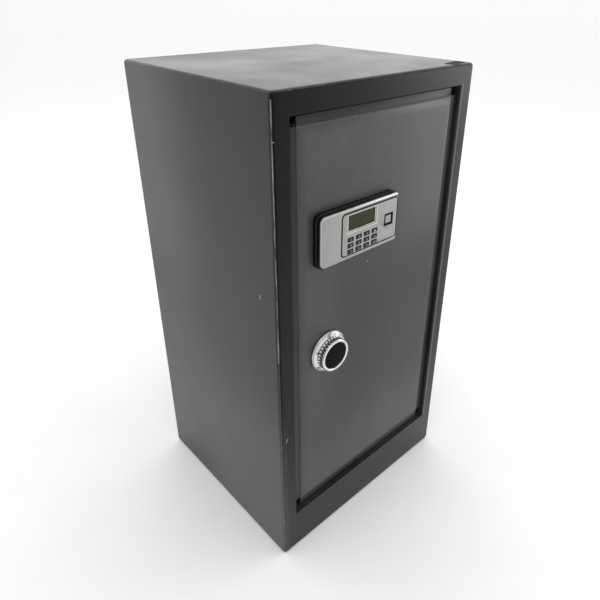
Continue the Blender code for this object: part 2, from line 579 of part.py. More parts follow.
def build_solenoid():
    centre = (PLUNGER_X, at(PLUNGER_DEPTH))
    low, high = COIL_BOTTOM - FIT, COIL_TOP + FIT
    span_x = (PLUNGER_X - 0.014, PLUNGER_X + 0.014)
    yoke = box("solenoid_yoke", span_x, (at(0.0060), at(0.0360)), (low - 0.0025, high + 0.0025))
    cut(yoke, box("gap", (span_x[0] - 0.01, span_x[1] + 0.01), (at(0.0085), at(0.05)), (low, high)))
    drill(yoke, PLUNGER_RADIUS + 0.0005, (low - 0.02, high + 0.02), centre, "Z")
    finish(yoke, "zinc_steel", "door_axis", (PLUNGER_X, at(0.006), (low + high) / 2))
    bore = PLUNGER_RADIUS + 0.0005
    winding = [(bore, COIL_BOTTOM), (0.0125, COIL_BOTTOM), (0.0125, COIL_BOTTOM + 0.0015),
               (0.0110, COIL_BOTTOM + 0.0015), (0.0110, COIL_TOP - 0.0015), (0.0125, COIL_TOP - 0.0015),
               (0.0125, COIL_TOP), (bore, COIL_TOP)]
    finish(turned("solenoid_coil", winding, centre, "Z", 24, True), "copper", "door_axis",
           (*centre, COIL_BOTTOM))
    rod_profile = [(PLUNGER_RADIUS - 0.0008, PLUNGER_TIP), (PLUNGER_RADIUS, PLUNGER_TIP + 0.0008),
                   (PLUNGER_RADIUS, PLUNGER_TIP + 0.0025), (0.0062, PLUNGER_TIP + 0.0025),
                   (0.0062, PLUNGER_TIP + 0.0040), (PLUNGER_RADIUS, PLUNGER_TIP + 0.0040),
                   (PLUNGER_RADIUS, COIL_TOP - 0.002)]
    finish(turned("solenoid_plunger", rod_profile, centre, "Z", 20), "bright_steel", "plunger_axis")
    wire = 0.0004
    seat = (PLUNGER_TIP + 0.0040 + FIT + wire, low - 0.0025 - FIT - wire)
    finish(coil_spring("plunger_spring", centre, 0.0051, wire, seat, 4.5), "bright_steel",
           "door_axis", (*centre, seat[1]))


# ================================================================ keypad and key lock
def build_keypad():
    x0, x1 = PAD_X - PAD_WIDTH / 2, PAD_X + PAD_WIDTH / 2
    z0, z1 = PAD_Z - PAD_HEIGHT / 2, PAD_Z + PAD_HEIGHT / 2
    housing = sheet("keypad_housing", rounded(x0, x1, z0, z1, (0.011,) * 4),
                    (PAD_FRONT, PLATE_DEPTH - FIT), 0.0012)
    window(housing, (-0.0955, 0.0195), (0.5590, 0.6215), (-0.02, -0.0008))
    drill(housing, 0.0093, (at(-0.02), at(0.01)), (LOCK_X, LOCK_Z), "Y")
    drill(housing, 0.0060, (at(-0.02), at(0.01)), (CABLE_X, CABLE_Z), "Y")
    finish(housing, "black_plastic", "door_axis", (PAD_X, at(PLATE_DEPTH), PAD_Z))

    board = sheet("circuit_board", rectangle(-0.0945, 0.0185, 0.5610, 0.6205), (-0.0030, -0.0016))
    drill(board, 0.0016, (at(-0.01), at(0.01)), (-0.0905, 0.6165), "Y", 12)
    drill(board, 0.0016, (at(-0.01), at(0.01)), (0.0145, 0.5650), "Y", 12)
    finish(board, "green_board", "door_axis", (PAD_X, at(-0.0016), PAD_Z))

    face = sheet("keypad_face", rounded(FACE_LEFT, COVER_RIGHT, FACE_BOTTOM, FACE_TOP,
                                        (0.006, 0.0035, 0.0035, 0.006)), (FACE_FRONT, PAD_FRONT - FIT))
    window(face, (LCD[0] - 0.0004, LCD[1] + 0.0004), (LCD[2] - 0.0004, LCD[3] + 0.0004), (-0.02, 0.0))
    for z in KEY_ROWS:
        for x in KEY_COLUMNS:
            dx, dz = KEY_WIDTH / 2 + 0.0003, KEY_HEIGHT / 2 + 0.0003
            window(face, (x - dx, x + dx), (z - dz, z + dz), (-0.02, 0.0))
    well = 0.0100
    window(face, (BUTTON_X - well, BUTTON_X + well), (BUTTON_Z - well, BUTTON_Z + well), (-0.02, 0.0))
    finish(face, "silver_plastic", "door_axis", (PAD_X, at(PAD_FRONT), PAD_Z))

    slide = sheet("key_cover", rounded(COVER_LEFT, COVER_RIGHT, COVER_BOTTOM, COVER_TOP, (0.009,) * 4),
                  (COVER_FRONT, PAD_FRONT - FIT), 0.0008)
    gap = 0.0005
    cut(slide, sheet("bay", rounded(FACE_LEFT - gap, 0.05, FACE_BOTTOM - gap, FACE_TOP + gap,
                                    (0.0065, 0.0, 0.0, 0.0065)), (-0.02, 0.0)))
    finish(slide, "silver_plastic", "key_cover_axis")

    lcd = sheet("lcd_module", rectangle(*LCD), (-0.0112, -0.0045))
    finish(lcd, "lcd_glass", "door_axis", (PAD_X, at(-0.0045), 0.607))

    for names, z in zip(KEY_NAMES, KEY_ROWS):
        for name, x in zip(names, KEY_COLUMNS):
            dx, dz = KEY_WIDTH / 2, KEY_HEIGHT / 2
            key = sheet(name, rounded(x - dx, x + dx, z - dz, z + dz, (0.0008,) * 4, 1),
                        (KEY_FRONT, KEY_BACK), 0.0004, 1)
            finish(key, "black_plastic", name + "_axis")
    half = BUTTON_SIZE / 2
    square = rounded(BUTTON_X - half, BUTTON_X + half, BUTTON_Z - half, BUTTON_Z + half, (0.001,) * 4, 2)
    button = sheet("touch_button", square, (-0.0108, KEY_BACK), 0.0005, 1)
    finish(button, "silver_plastic", "button_axis")

    centre = (LOCK_X, LOCK_Z)
    body = [(0.0058, at(-0.0088)), (0.0090, at(-0.0088)), (0.0090, at(0.0140)), (0.0058, at(0.0140))]
    finish(turned("lock_body", body, centre, "Y", 24, True), "chrome", "door_axis",
           (LOCK_X, at(-0.0088), LOCK_Z))
    plug = rod("lock_plug", 0.0055, (at(-0.0088), at(0.0140)), centre, "Y", 24)
    cut(plug, box("keyway", (LOCK_X - 0.0009, LOCK_X + 0.0009), (at(-0.0120), at(0.0060)),
                  (LOCK_Z - 0.0036, LOCK_Z + 0.0036)))
    finish(plug, "brass", "lock_axis")
    cam = sheet("lock_cam", rounded(LOCK_X - 0.005, LOCK_X + 0.005, LOCK_Z - 0.019, LOCK_Z + 0.005,
                                    (0.0045,) * 4, 3), (0.0143, 0.0168))
    finish(cam, "zinc_steel", "lock_axis")


# ================================================================ battery box and reset button
def build_battery():
    x0, x1, z0, z1 = BATTERY
    rim = COVER_BACK + FIT
    tray = sheet("battery_box", rectangle(x0, x1, z0, z1), (BATTERY_FRONT, rim + 0.0005))
    weld(tray, sheet("rim", rounded(x0 - 0.004, x1 + 0.004, z0 - 0.004, z1 + 0.004, (0.003,) * 4, 3),
                     (rim, rim + 0.0015)))
    window(tray, (x0 + 0.002, x1 - 0.002), (z0 + 0.002, z1 - 0.002), (BATTERY_FRONT + 0.002, 0.06))
    finish(tray, "black_plastic", "door_axis", ((x0 + x1) / 2, at(rim), (z0 + z1) / 2))
    lid_front = rim + 0.0015 + FIT
    lid = sheet("battery_lid", rounded(x0 - 0.0035, x1 + 0.0035, z0 - 0.0035, z1 + 0.0035,
                                       (0.003,) * 4, 3), (lid_front, lid_front + 0.0015))
    for i in range(3):
        weld(lid, sheet("grip", rectangle(-0.004, 0.019, z1 - 0.008 - 0.004 * i, z1 - 0.006 - 0.004 * i),
                        (lid_front + 0.001, lid_front + 0.0023)))
    finish(lid, "black_plastic", "battery_lid_axis")
    button = turned("reset_button", [(0.0040, at(0.0425)), (0.0040, at(0.0485)), (0.0034, at(0.0492))],
                    (RESET_X, RESET_Z), "Y", 20)
    finish(button, "red_plastic", "reset_axis")


def main():
    for obj in list(bpy.data.objects):
        bpy.data.objects.remove(obj)
    build_axes()
    build_body()
    build_door()
    build_bolt_work()
    build_knob()
    build_solenoid()
    build_keypad()
    build_battery()


main()
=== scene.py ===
import math
import random

import bmesh
import bpy
from mathutils import Matrix, Vector


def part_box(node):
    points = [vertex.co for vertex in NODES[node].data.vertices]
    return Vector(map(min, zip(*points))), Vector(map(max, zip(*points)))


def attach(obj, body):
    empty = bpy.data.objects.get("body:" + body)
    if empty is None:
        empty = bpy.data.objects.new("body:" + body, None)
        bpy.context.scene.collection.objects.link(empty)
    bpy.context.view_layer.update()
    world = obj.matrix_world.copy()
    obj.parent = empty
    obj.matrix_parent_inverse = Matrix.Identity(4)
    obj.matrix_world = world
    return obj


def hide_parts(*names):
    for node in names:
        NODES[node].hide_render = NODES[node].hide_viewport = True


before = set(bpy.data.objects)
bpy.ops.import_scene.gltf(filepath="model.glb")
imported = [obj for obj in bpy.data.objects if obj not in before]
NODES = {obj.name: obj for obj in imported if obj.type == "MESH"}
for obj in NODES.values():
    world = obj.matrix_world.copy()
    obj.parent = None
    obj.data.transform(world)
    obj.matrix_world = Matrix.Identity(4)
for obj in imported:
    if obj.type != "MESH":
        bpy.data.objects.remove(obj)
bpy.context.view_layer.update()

# ---------------------------------------------------------------- sizes shared with the CAD model
# Metres.  X runs across the front, Y back from it, and Z up from the floor.
HALF_W, HALF_D, HEIGHT = 0.206, 0.185, 0.800
FRONT = -HALF_D
PLATE_HALF_W, PLATE_Z = 0.1618, (0.102, 0.753)
PLATE_DEPTH, FLANGE_DEPTH, SHEET = 0.0025, 0.008, 0.003
FLANGE_HALF_W, FLANGE_Z = 0.175, (0.0865, 0.765)
KNOB = (-0.108, 0.3955)
PAD = (-0.056, 0.590)
LCD = (-0.0835, -0.0265, 0.5950, 0.6190)
BUTTON = (0.003, 0.591)
KEY_COLUMNS = [-0.0783, -0.0615, -0.0447, -0.0279]
KEY_ROWS = [0.5817, 0.5723, 0.5629]
KEYS = [["1", "2", "3", "lock"], ["4", "5", "6", "0"], ["7", "8", "9", "enter"]]
BOLTS = {"bottom": 0.200, "middle": 0.442, "top": 0.680}
BOLT_DEPTH = 0.031

# ---------------------------------------------------------------- studio
SKY = 1.0                           # strength of the even light all round
WINDOW_GLOW = 0.80                  # what the window adds to it
WINDOW_YAW = 52.0                   # degrees to the right of straight behind the safe
WINDOW_EDGE, WINDOW_CORE = 62.0, 12.0   # degrees from its middle where the glow starts, and is full
WINDOW_TOP, WINDOW_FULL = 0.55, 0.14    # the same two by height: the upward part of the direction
SOFTBOXES = [                       # name, place, what it faces, size, watts
    ("overhead_softbox", (0.0, 0.3, 3.4), (0, 0.1, 0.0), (4.0, 4.0), 30.0),
    ("right_softbox", (2.0, -1.2, 0.9), (0.1, -0.2, 0.5), (1.2, 1.2), 9.0),
]
FLOOR_SPAN, FLOOR_Z = 60.0, -0.0004     # just under the safe, so that the two never share a plane
CAMERA_PLACE = (-0.5863, -0.4923 + FRONT, 0.9071)
CAMERA_YAW, CAMERA_PITCH, CAMERA_ROLL = 43.55, -26.31, 0.72
CAMERA_SENSOR, CAMERA_LENS = 36.0, 32.33
CAMERA_SHIFT = (-0.041, -0.0805)
CAMERA_CLIP = (0.02, 60.0)


def at(depth):
    """Y of a point this far behind the front face of the frame."""
    return FRONT + depth


def around(centre, half_width, half_height):
    """Rectangle (left, right, low, high) about a point of the front."""
    x, z = centre
    return (x - half_width, x + half_width, z - half_height, z + half_height)


# ================================================================ materials
class Nodes:
    """Builds chains of nodes in one tree; coords is the space that its patterns are laid out in."""

    def __init__(self, tree, space):
        self.tree = tree
        self.coords = tree.nodes.new("ShaderNodeTexCoord").outputs[space]

    def plug(self, socket, value):
        """Links another node's output to the socket, or stores a plain value on it."""
        if isinstance(value, bpy.types.NodeSocket):
            self.tree.links.new(value, socket)
        else:
            socket.default_value = value

    def math(self, operation, a, b=0.0):
        node = self.tree.nodes.new("ShaderNodeMath")
        node.operation = operation
        self.plug(node.inputs[0], a)
        self.plug(node.inputs[1], b)
        return node.outputs[0]

    def fold(self, operation, values):
        """Runs a two-value operation along the values, from left to right."""
        total = values[0]
        for value in values[1:]:
            total = self.math(operation, total, value)
        return total

    def plus(self, *values):
        return self.fold("ADD", values)

    def times(self, *values):
        return self.fold("MULTIPLY", values)

    def most(self, *values):
        return self.fold("MAXIMUM", values)

    def least(self, *values):
        return self.fold("MINIMUM", values)

    def minus(self, a, b):
        return self.math("SUBTRACT", a, b)

    def vector(self, operation, first, second=None, scale=None):
        node = self.tree.nodes.new("ShaderNodeVectorMath")
        node.operation = operation
        self.plug(node.inputs[0], first)
        if second is not None:
            self.plug(node.inputs[1], second)
        if scale is not None:
            self.plug(node.inputs["Scale"], scale)
        return node

    def xyz(self):
        node = self.tree.nodes.new("ShaderNodeSeparateXYZ")
        self.plug(node.inputs[0], self.coords)
        return node.outputs

    def ramp(self, value, low, high, out_low=0.0, out_high=1.0):
        """Goes smoothly from out_low to out_high as the value goes from low to high."""
        node = self.tree.nodes.new("ShaderNodeMapRange")
        node.interpolation_type = "SMOOTHSTEP"
        for socket, setting in zip(node.inputs, (value, low, high, out_low, out_high)):
            self.plug(socket, setting)
        return node.outputs[0]


class Look(Nodes):
    """A Principled material built up from procedural nodes; base and rough are its chains so far."""

    def __init__(self, name, color, metallic=0.0, roughness=0.5):
        self.material = bpy.data.materials.new(name)
        self.material.use_nodes = True
        self.material.diffuse_color = (*color, 1.0)
        super().__init__(self.material.node_tree, "Object")
        self.shader = self.tree.nodes["Principled BSDF"]
        self.set("Base Color", (*color, 1.0))
        self.set("Metallic", metallic)
        self.set("Roughness", roughness)

    def set(self, socket, value):
        self.plug(self.shader.inputs[socket], value)

    def noise(self, scale, detail=3.0, roughness=0.5, distortion=0.0):
        """Noise of this scale, or stretched along the axes by three scales."""
        coords = self.coords
        if isinstance(scale, tuple):
            coords, scale = self.vector("MULTIPLY", self.coords, scale).outputs[0], 1.0
        node = self.tree.nodes.new("ShaderNodeTexNoise")
        self.plug(node.inputs["Vector"], coords)
        node.inputs["Scale"].default_value = scale
        node.inputs["Detail"].default_value = detail
        node.inputs["Roughness"].default_value = roughness
        node.inputs["Distortion"].default_value = distortion
        return node.outputs["Fac"]

    def cells(self, scale, output="Distance"):
        node = self.tree.nodes.new("ShaderNodeTexVoronoi")
        self.plug(node.inputs["Vector"], self.coords)
        node.inputs["Scale"].default_value = scale
        return node.outputs[output]

    def mix(self, factor, a, b):
        node = self.tree.nodes.new("ShaderNodeMix")
        node.data_type = "RGBA"
        self.plug(node.inputs["Factor"], factor)
        colours = [s for s in node.inputs if s.type == "RGBA"]
        for socket, value in zip(colours, (a, b)):
            self.plug(socket, (*value, 1.0) if isinstance(value, tuple) else value)
        return [s for s in node.outputs if s.type == "RGBA"][0]

    def paint(self, mask, color):
        """Lays a colour over the base where the mask is 1."""
        self.base = self.mix(mask, self.base, color)

    def dim(self, value, mask, share=1.0):
        """Takes this share of the value away where the mask is 1."""
        return self.times(value, self.minus(1.0, self.times(mask, share)))

    def sheen(self, broad, low, high, fine, swing):
        """Roughness that drifts from low to high in broad patches, with a fine flicker over it."""
        drift = self.ramp(broad, 0.3, 0.7, low, high)
        self.rough = self.plus(drift, self.times(self.minus(fine, 0.5), swing))

    def specks(self, scale, size, share, drift, color):
        """Specks of dust, gathered in drifts."""
        speck = self.ramp(self.cells(scale), size, size * 0.4, 0.0, share)
        self.paint(self.times(speck, self.ramp(self.noise(drift), 0.55, 0.7)), color)

    def bump(self, height, distance, strength=1.0):
        """Adds a height to the surface, over any bump that it has already."""
        node = self.tree.nodes.new("ShaderNodeBump")
        node.inputs["Strength"].default_value = strength
        node.inputs["Distance"].default_value = distance
        self.plug(node.inputs["Height"], height)
        previous = self.shader.inputs["Normal"].links
        if previous:
            self.plug(node.inputs["Normal"], previous[0].from_socket)
        self.set("Normal", node.outputs[0])

    def from_edges(self, half, centre_z):
        """Distance on the outside of a box from its nearest edge: the middle of three face distances."""
        x, y, z = self.xyz()
        dx = self.minus(half[0], self.math("ABSOLUTE", x))
        dy = self.minus(half[1], self.math("ABSOLUTE", y))
        dz = self.minus(half[2], self.math("ABSOLUTE", self.minus(z, centre_z)))
        low, high = self.least(dx, dy), self.most(dx, dy)
        return self.most(low, self.least(high, dz))

    def near_line(self, a, b, width):
        """1 within half of `width` from the segment a to b, fading to 0 at `width`."""
        a, b = Vector(a), Vector(b)
        direction, length = (b - a).normalized(), (b - a).length
        offset = self.vector("SUBTRACT", self.coords, a).outputs[0]
        along = self.vector("DOT_PRODUCT", offset, direction).outputs["Value"]
        along = self.least(self.most(along, 0.0), length)
        foot = self.vector("SCALE", direction, scale=along).outputs[0]
        distance = self.vector("DISTANCE", offset, foot).outputs["Value"]
        return self.ramp(distance, width, width * 0.5)

    def seal(self):
        """Connects the two chains, and gives the finished material."""
        self.set("Base Color", self.base)
        self.set("Roughness", self.rough)
        return self.material


BLACK, WHITE = (0.0, 0.0, 0.0), (1.0, 1.0, 1.0)
DUST, HAZE, FACE_SHADE_COLOR = (0.16, 0.16, 0.155), (0.165, 0.162, 0.155), (0.004, 0.004, 0.0045)
DOOR_STREAK, DOOR_LIGHT, DOOR_SHADE = (0.10, 0.10, 0.10), (0.078, 0.077, 0.075), (0.012, 0.012, 0.012)
STEEL_AND_HIGHLIGHT, FRESH_CHIP, EDGE_HIGHLIGHT = (0.46, 0.46, 0.45), (0.75, 0.75, 0.74), (0.88, 0.88, 0.86)
CHROME_SHADE = (0.085, 0.085, 0.080)
WIRE_PITCH = 0.0006


def shade(color, factor, lift=0.0):
    """A darker or lighter shade of a colour, never past full white."""
    return tuple(min(c * factor + lift, 1.0) for c in color)


def powder_coat(name, color, roughness, spec, grain=0.00006):
    """Sprayed semi-gloss paint: orange peel in two sizes, with uneven colour and sheen."""
    look = Look(name, color, roughness=roughness)
    look.set("IOR", 1.5)
    look.set("Specular IOR Level", spec)
    broad = look.noise(5.0, 4.0, 0.55)
    fine = look.noise(140.0, 3.0, 0.6)
    tone = look.ramp(look.plus(look.times(broad, 0.7), look.times(fine, 0.3)), 0.35, 0.65)
    look.base = look.mix(tone, shade(color, 0.82), shade(color, 1.25, 0.004))
    look.sheen(broad, roughness - 0.05, roughness + 0.06, fine, 0.10)
    look.bump(look.noise(620.0, 2.0, 0.5), grain)
    look.bump(look.noise(60.0, 2.0, 0.5), grain * 1.6, 0.35)
    return look


def body_wear_and_highlights(look, y):
    """Worn paint and painted highlights of the frame: worn edges, the corner post's painted highlight and
    chips, a few scratches, and the lip's painted highlight.
    """
    edge = look.from_edges((HALF_W, HALF_D, HEIGHT / 2), HEIGHT / 2)
    ragged = look.times(look.noise(85.0, 6.0, 0.7), 0.005)
    worn = look.ramp(look.plus(edge, ragged), 0.0048, 0.0034)

    # A painted highlight runs along the bend of the front left corner post, above all in its upper half;
    # chips knocked to bare steel lie along it, most in its upper half.
    patchy = look.noise((300.0, 300.0, 30.0), 4.0, 0.6)
    bend, width = (-HALF_W + 0.0018, FRONT + 0.0018), 0.0011
    upper = look.near_line((*bend, 0.790), (*bend, 0.420), width)
    lower = look.near_line((*bend, 0.420), (*bend, 0.010), width)
    post_highlight = look.times(upper, look.ramp(patchy, 0.34, 0.62, 0.06, 0.42))
    chips = look.times(upper, look.ramp(patchy, 0.61, 0.67, 0.0, 0.85))
    chips_low = look.times(lower, look.ramp(patchy, 0.60, 0.70, 0.10, 0.60))
    scratches = look.most(
        look.near_line((-HALF_W, -0.148, 0.513), (-HALF_W, -0.147, 0.518), 0.0011),
        look.near_line((-0.196, FRONT, 0.262), (-0.193, FRONT, 0.267), 0.0010),
        look.near_line((-HALF_W + 0.001, FRONT + 0.002, 0.742), (-HALF_W + 0.004, FRONT, 0.741), 0.0006))

    # A painted highlight on the lip of the opening on the hinge side, where it catches the light along its
    # bend.
    lip_highlight = look.near_line((0.1790, FRONT, 0.084), (0.1790, FRONT, 0.767), 0.0042)
    lip_highlight = look.times(lip_highlight, look.ramp(y, FRONT + 0.006, FRONT + 0.003))
    return look.most(look.times(worn, 0.12), post_highlight, chips, chips_low,
                     look.times(scratches, 0.75), look.times(lip_highlight, 0.16))


def body_paint(name="body_paint", recess_shade=None):
    """Charcoal coat of the frame.  The door's border has it too, with a tint that dulls its shine as painted
    shade.
    """
    look = powder_coat(name, (0.0185, 0.0185, 0.020), 0.36, 0.50)
    x, y, z = look.xyz()
    wear_and_highlight = body_wear_and_highlights(look, y)
    dusty = look.ramp(look.noise(3.0, 6.0, 0.65), 0.52, 0.80, 0.0, 0.06)
    skirt = look.times(look.ramp(z, 0.30, 0.02, 0.0, 0.05), look.ramp(y, FRONT + 0.02, FRONT + 0.10))
    look.paint(look.plus(dusty, skirt), DUST)
    look.specks(150.0, 0.050, 0.35, 9.0, (0.30, 0.30, 0.29))

    # A darker, duller patch near the front right corner of the top.
    top_dark_patch = look.near_line((0.160, -0.172, HEIGHT), (0.192, -0.166, HEIGHT), 0.013)
    top_dark_patch = look.times(top_dark_patch, look.ramp(look.noise(55.0, 4.0, 0.6), 0.22, 0.42))

    # Painted shade on the frame's face: a darker colour and a dimmer reflection, strongest at the left and
    # weaker to the right and near the bottom.
    face = look.ramp(y, FRONT + 0.0045, FRONT + 0.0008)
    dip = look.times(look.ramp(z, 0.08, 0.28), look.ramp(z, 0.60, 0.42))
    face_shade = look.plus(look.times(face, look.ramp(x, -0.04, 0.24, 1.0, 0.66)),
                      look.times(dip, face, look.ramp(x, 0.05, 0.18, 0.0, 0.36)))
    face_shade = look.times(face_shade, look.ramp(z, 0.32, 0.04, 1.0, 0.60))
    look.paint(look.times(face_shade, 0.80), FACE_SHADE_COLOR)

    # The left side is wiped cleaner beside the door, and hazed low down and at the top of the back.
    flank = look.ramp(x, -0.190, -0.204)
    reach = look.minus(y, look.ramp(z, 0.60, 0.40, 0.0, 0.055))
    wiped = look.times(flank, look.ramp(z, 0.26, 0.40), look.ramp(reach, 0.085, -0.070))
    low = look.times(look.ramp(z, 0.34, 0.20), look.ramp(y, 0.10, -0.05), 0.17)
    high = look.times(look.ramp(z, 0.42, 0.62), look.ramp(y, 0.0, 0.14), 0.24)
    look.paint(look.times(flank, look.plus(low, high)), HAZE)

    # The specular tint carries how much each of these places mirrors; on the frame's face and along the top
    # it is painted shade, darker towards the left of the top.
    top_shade = look.times(look.ramp(z, HEIGHT - 0.003, HEIGHT - 0.001), look.ramp(x, -0.22, 0.20, 0.30, 0.10))
    shine = 1.0
    for mask, share in ((face_shade, 0.95), (top_dark_patch, 0.8), (wiped, 0.42), (top_shade, 1.0)):
        shine = look.dim(shine, mask, share)
    # Painted shade on the border: its shine is cut to the tint, a little less near the bottom.
    if recess_shade is not None:
        shine = look.times(shine, look.ramp(z, 0.16, 0.09, recess_shade, recess_shade * 1.7))
    look.set("Specular Tint", look.mix(shine, BLACK, WHITE))
    # Bare steel where the paint is worn, which also carries the painted highlights on the corner post and
    # the lip.
    look.paint(wear_and_highlight, STEEL_AND_HIGHLIGHT)
    look.rough = look.plus(look.rough, look.times(wear_and_highlight, 0.15), look.times(top_dark_patch, 0.55))
    look.bump(wear_and_highlight, 0.00010, -0.8)
    return look.seal()


def door_paint():
    """Coat of the door's plate: paler and duller than the frame's, with streaks, painted light and shade,
    specks and two chips.
    """
    look = powder_coat("door_paint", (0.037, 0.037, 0.037), 0.42, 0.45, 0.00005)
    streak = look.noise((30.0, 30.0, 6.0), 4.0, 0.6)
    look.paint(look.ramp(streak, 0.45, 0.75, 0.0, 0.14), DOOR_STREAK)

    # Painted shade darkens the plate between the knob and the keypad; painted light pales it low down and at
    # the upper right.
    x, _, z = look.xyz()
    wiped = look.times(look.ramp(z, 0.17, 0.31), look.ramp(z, 0.62, 0.46), look.ramp(x, -0.150, -0.040))
    low = look.ramp(z, 0.24, 0.14, 0.0, 0.28)
    right = look.times(look.ramp(x, 0.0, 0.12, 0.0, 0.70), look.ramp(z, 0.42, 0.56))
    look.paint(look.most(low, right), DOOR_LIGHT)
    look.paint(look.times(wiped, 0.80), DOOR_SHADE)
    look.specks(70.0, 0.030, 0.5, 7.0, (0.32, 0.32, 0.31))

    # One chip on the lower roll, and a smaller one under the keypad.
    chip = look.near_line((-0.0165, at(0.0050), 0.1055), (-0.0150, at(0.0050), 0.1055), 0.0019)
    small = look.near_line((-0.0240, at(0.0025), 0.5232), (-0.0228, at(0.0025), 0.5226), 0.0011)
    look.paint(look.most(chip, look.times(small, 0.5)), FRESH_CHIP)
    return look.seal()


def inner_paint():
    """Plain coat of the inside, rougher than the outside's."""
    return powder_coat("inner_paint", (0.045, 0.046, 0.048), 0.50, 0.40, 0.00009).seal()


def steel(name, color, roughness, turned=None, spangle=0.0):
    """Bare steel.  turned gives the three scales of its tool marks, and spangle the share of zinc flake."""
    look = Look(name, color, 1.0, roughness)
    fine = look.noise(420.0, 3.0, 0.6)
    broad = look.noise(18.0, 4.0, 0.6)
    look.base = look.mix(look.ramp(broad, 0.3, 0.7), shade(color, 0.80), color)
    if spangle:
        flake = look.cells(180.0, "Color")
        look.paint(look.times(look.ramp(flake, 0.2, 0.8), spangle), shade(color, 1.12))
    look.sheen(broad, roughness - 0.05, roughness + 0.08, fine, 0.10)
    if turned:
        look.bump(look.noise(turned, 3.0, 0.6), 0.00003, 0.6)
    else:
        look.bump(fine, 0.00002, 0.6)
    return look.seal()


def chrome(name="chrome", ribbed=False):
    """Bright plating with smears, painted dark reflections in blotches, and painted shade in its hollows."""
    look = Look(name, (0.80, 0.81, 0.82), 1.0, 0.09)
    smear = look.noise(45.0, 4.0, 0.6)
    look.base = look.mix(look.ramp(smear, 0.4, 0.7), (0.60, 0.605, 0.60), (0.78, 0.78, 0.76))
    dark_reflection = look.ramp(look.noise((75.0, 220.0, 75.0), 3.0, 0.6), 0.50, 0.60, 0.0, 0.75)
    x, y, z = look.xyz()
    dx, dz = look.minus(x, KNOB[0]), look.minus(z, KNOB[1])
    radius = look.math("SQRT", look.plus(look.times(dx, dx), look.times(dz, dz)))
    if ribbed:
        # Painted shade darkens the flutes between the ribs, with painted dark reflections in blotches over
        # the grip.
        band = look.times(look.ramp(y, at(-0.0160), at(-0.0155)), look.ramp(y, at(-0.0066), at(-0.0072)))
        flute_shade = look.times(band, look.ramp(radius, 0.0264, 0.0255))
        painted_dark = look.most(flute_shade, look.times(band, dark_reflection, 0.35))
    else:
        # On the flange a painted shadow darkens the step near its rim, and painted dark reflections lie in
        # blotches inside it.
        step_shadow = look.times(look.ramp(y, at(-0.0016), at(-0.0022)), look.ramp(y, at(-0.0032), at(-0.0026)))
        step_shadow = look.times(step_shadow, look.ramp(radius, 0.0310, 0.0318), 0.6)
        painted_dark = look.most(step_shadow, look.times(look.ramp(radius, 0.0335, 0.0325), dark_reflection))
    look.paint(painted_dark, CHROME_SHADE)
    look.rough = look.plus(look.ramp(smear, 0.35, 0.75, 0.07, 0.18), look.times(painted_dark, 0.25))
    look.bump(look.noise(900.0, 2.0, 0.5), 0.000006, 0.5)
    return look.seal()


def plastic(name, color, roughness, grain=0.00003, spec=0.5):
    """Moulded plastic or rubber with a fine moulded grain."""
    look = Look(name, color, 0.0, roughness)
    look.set("Specular IOR Level", spec)
    broad, fine = look.noise(30.0, 3.0, 0.6), look.noise(900.0, 2.0, 0.5)
    look.base = look.mix(look.ramp(broad, 0.35, 0.65), shade(color, 0.85), shade(color, 1.12))
    look.sheen(broad, roughness - 0.04, roughness + 0.05, fine, 0.08)
    look.bump(fine, grain, 0.7)
    return look.seal()


def silver_paint(name="silver_lacquer", lit_edge=False):
    """Silver lacquer on moulded plastic: fine flake, a faint brushed grain along the panel."""
    look = Look(name, (0.29, 0.29, 0.28), 0.40, 0.36)
    flake = look.cells(2600.0, "Color")
    grain = look.noise((60.0, 60.0, 1500.0), 3.0, 0.6)
    broad = look.noise(26.0, 3.0, 0.5)
    look.base = look.mix(look.ramp(flake, 0.2, 0.9), (0.245, 0.245, 0.238), (0.345, 0.345, 0.336))
    look.paint(look.ramp(grain, 0.35, 0.7, 0.0, 0.35), (0.36, 0.36, 0.35))
    look.sheen(broad, 0.31, 0.42, grain, 0.12)
    if lit_edge:
        # Painted highlight on the rolled edge of the cover, brightest along the top and towards the right.
        x, y, z = look.xyz()
        edge = look.ramp(y, at(-0.01205), at(-0.01165), 0.0, 0.45)
        top = look.times(look.ramp(z, 0.6262, 0.6280), look.ramp(x, -0.115, 0.0, 0.25, 1.0))
        look.paint(look.most(edge, top), EDGE_HIGHLIGHT)
    look.bump(grain, 0.00002, 0.5)
    return look.seal()


def display():
    """Dead liquid crystal window: dark olive with the faintest trace of its segments."""
    look = Look("lcd_window", (0.028, 0.031, 0.020), 0.0, 0.16)
    look.set("Specular IOR Level", 0.10)
    x, _, z = look.xyz()
    cell_x = look.math("ABSOLUTE", look.math("SINE", look.times(x, 2 * math.pi * 62.0)))
    cell_z = look.math("ABSOLUTE", look.math("SINE", look.times(z, 2 * math.pi * 46.0)))
    ghost = look.times(look.ramp(cell_x, 0.55, 0.75), look.ramp(cell_z, 0.35, 0.6))
    mottled = look.noise(60.0, 3.0, 0.6)
    look.base = look.mix(look.ramp(mottled, 0.3, 0.7), (0.024, 0.026, 0.010), (0.034, 0.036, 0.014))
    look.paint(look.times(ghost, 0.35), (0.038, 0.043, 0.026))

    # A warm patch over the lower left part, and a painted shadow as a dark rim all round.
    left, right, low, high = LCD
    warm = look.times(look.ramp(x, left + 0.032, left + 0.018), look.ramp(z, high - 0.004, high - 0.010))
    look.paint(look.times(warm, 0.6), (0.042, 0.034, 0.018))
    inside = look.least(look.minus(x, left), look.minus(right, x), look.minus(z, low), look.minus(high, z))
    look.paint(look.ramp(inside, 0.0021, 0.0013), (0.0035, 0.0035, 0.0030))
    look.rough = look.ramp(mottled, 0.3, 0.7, 0.12, 0.20)
    return look.seal()


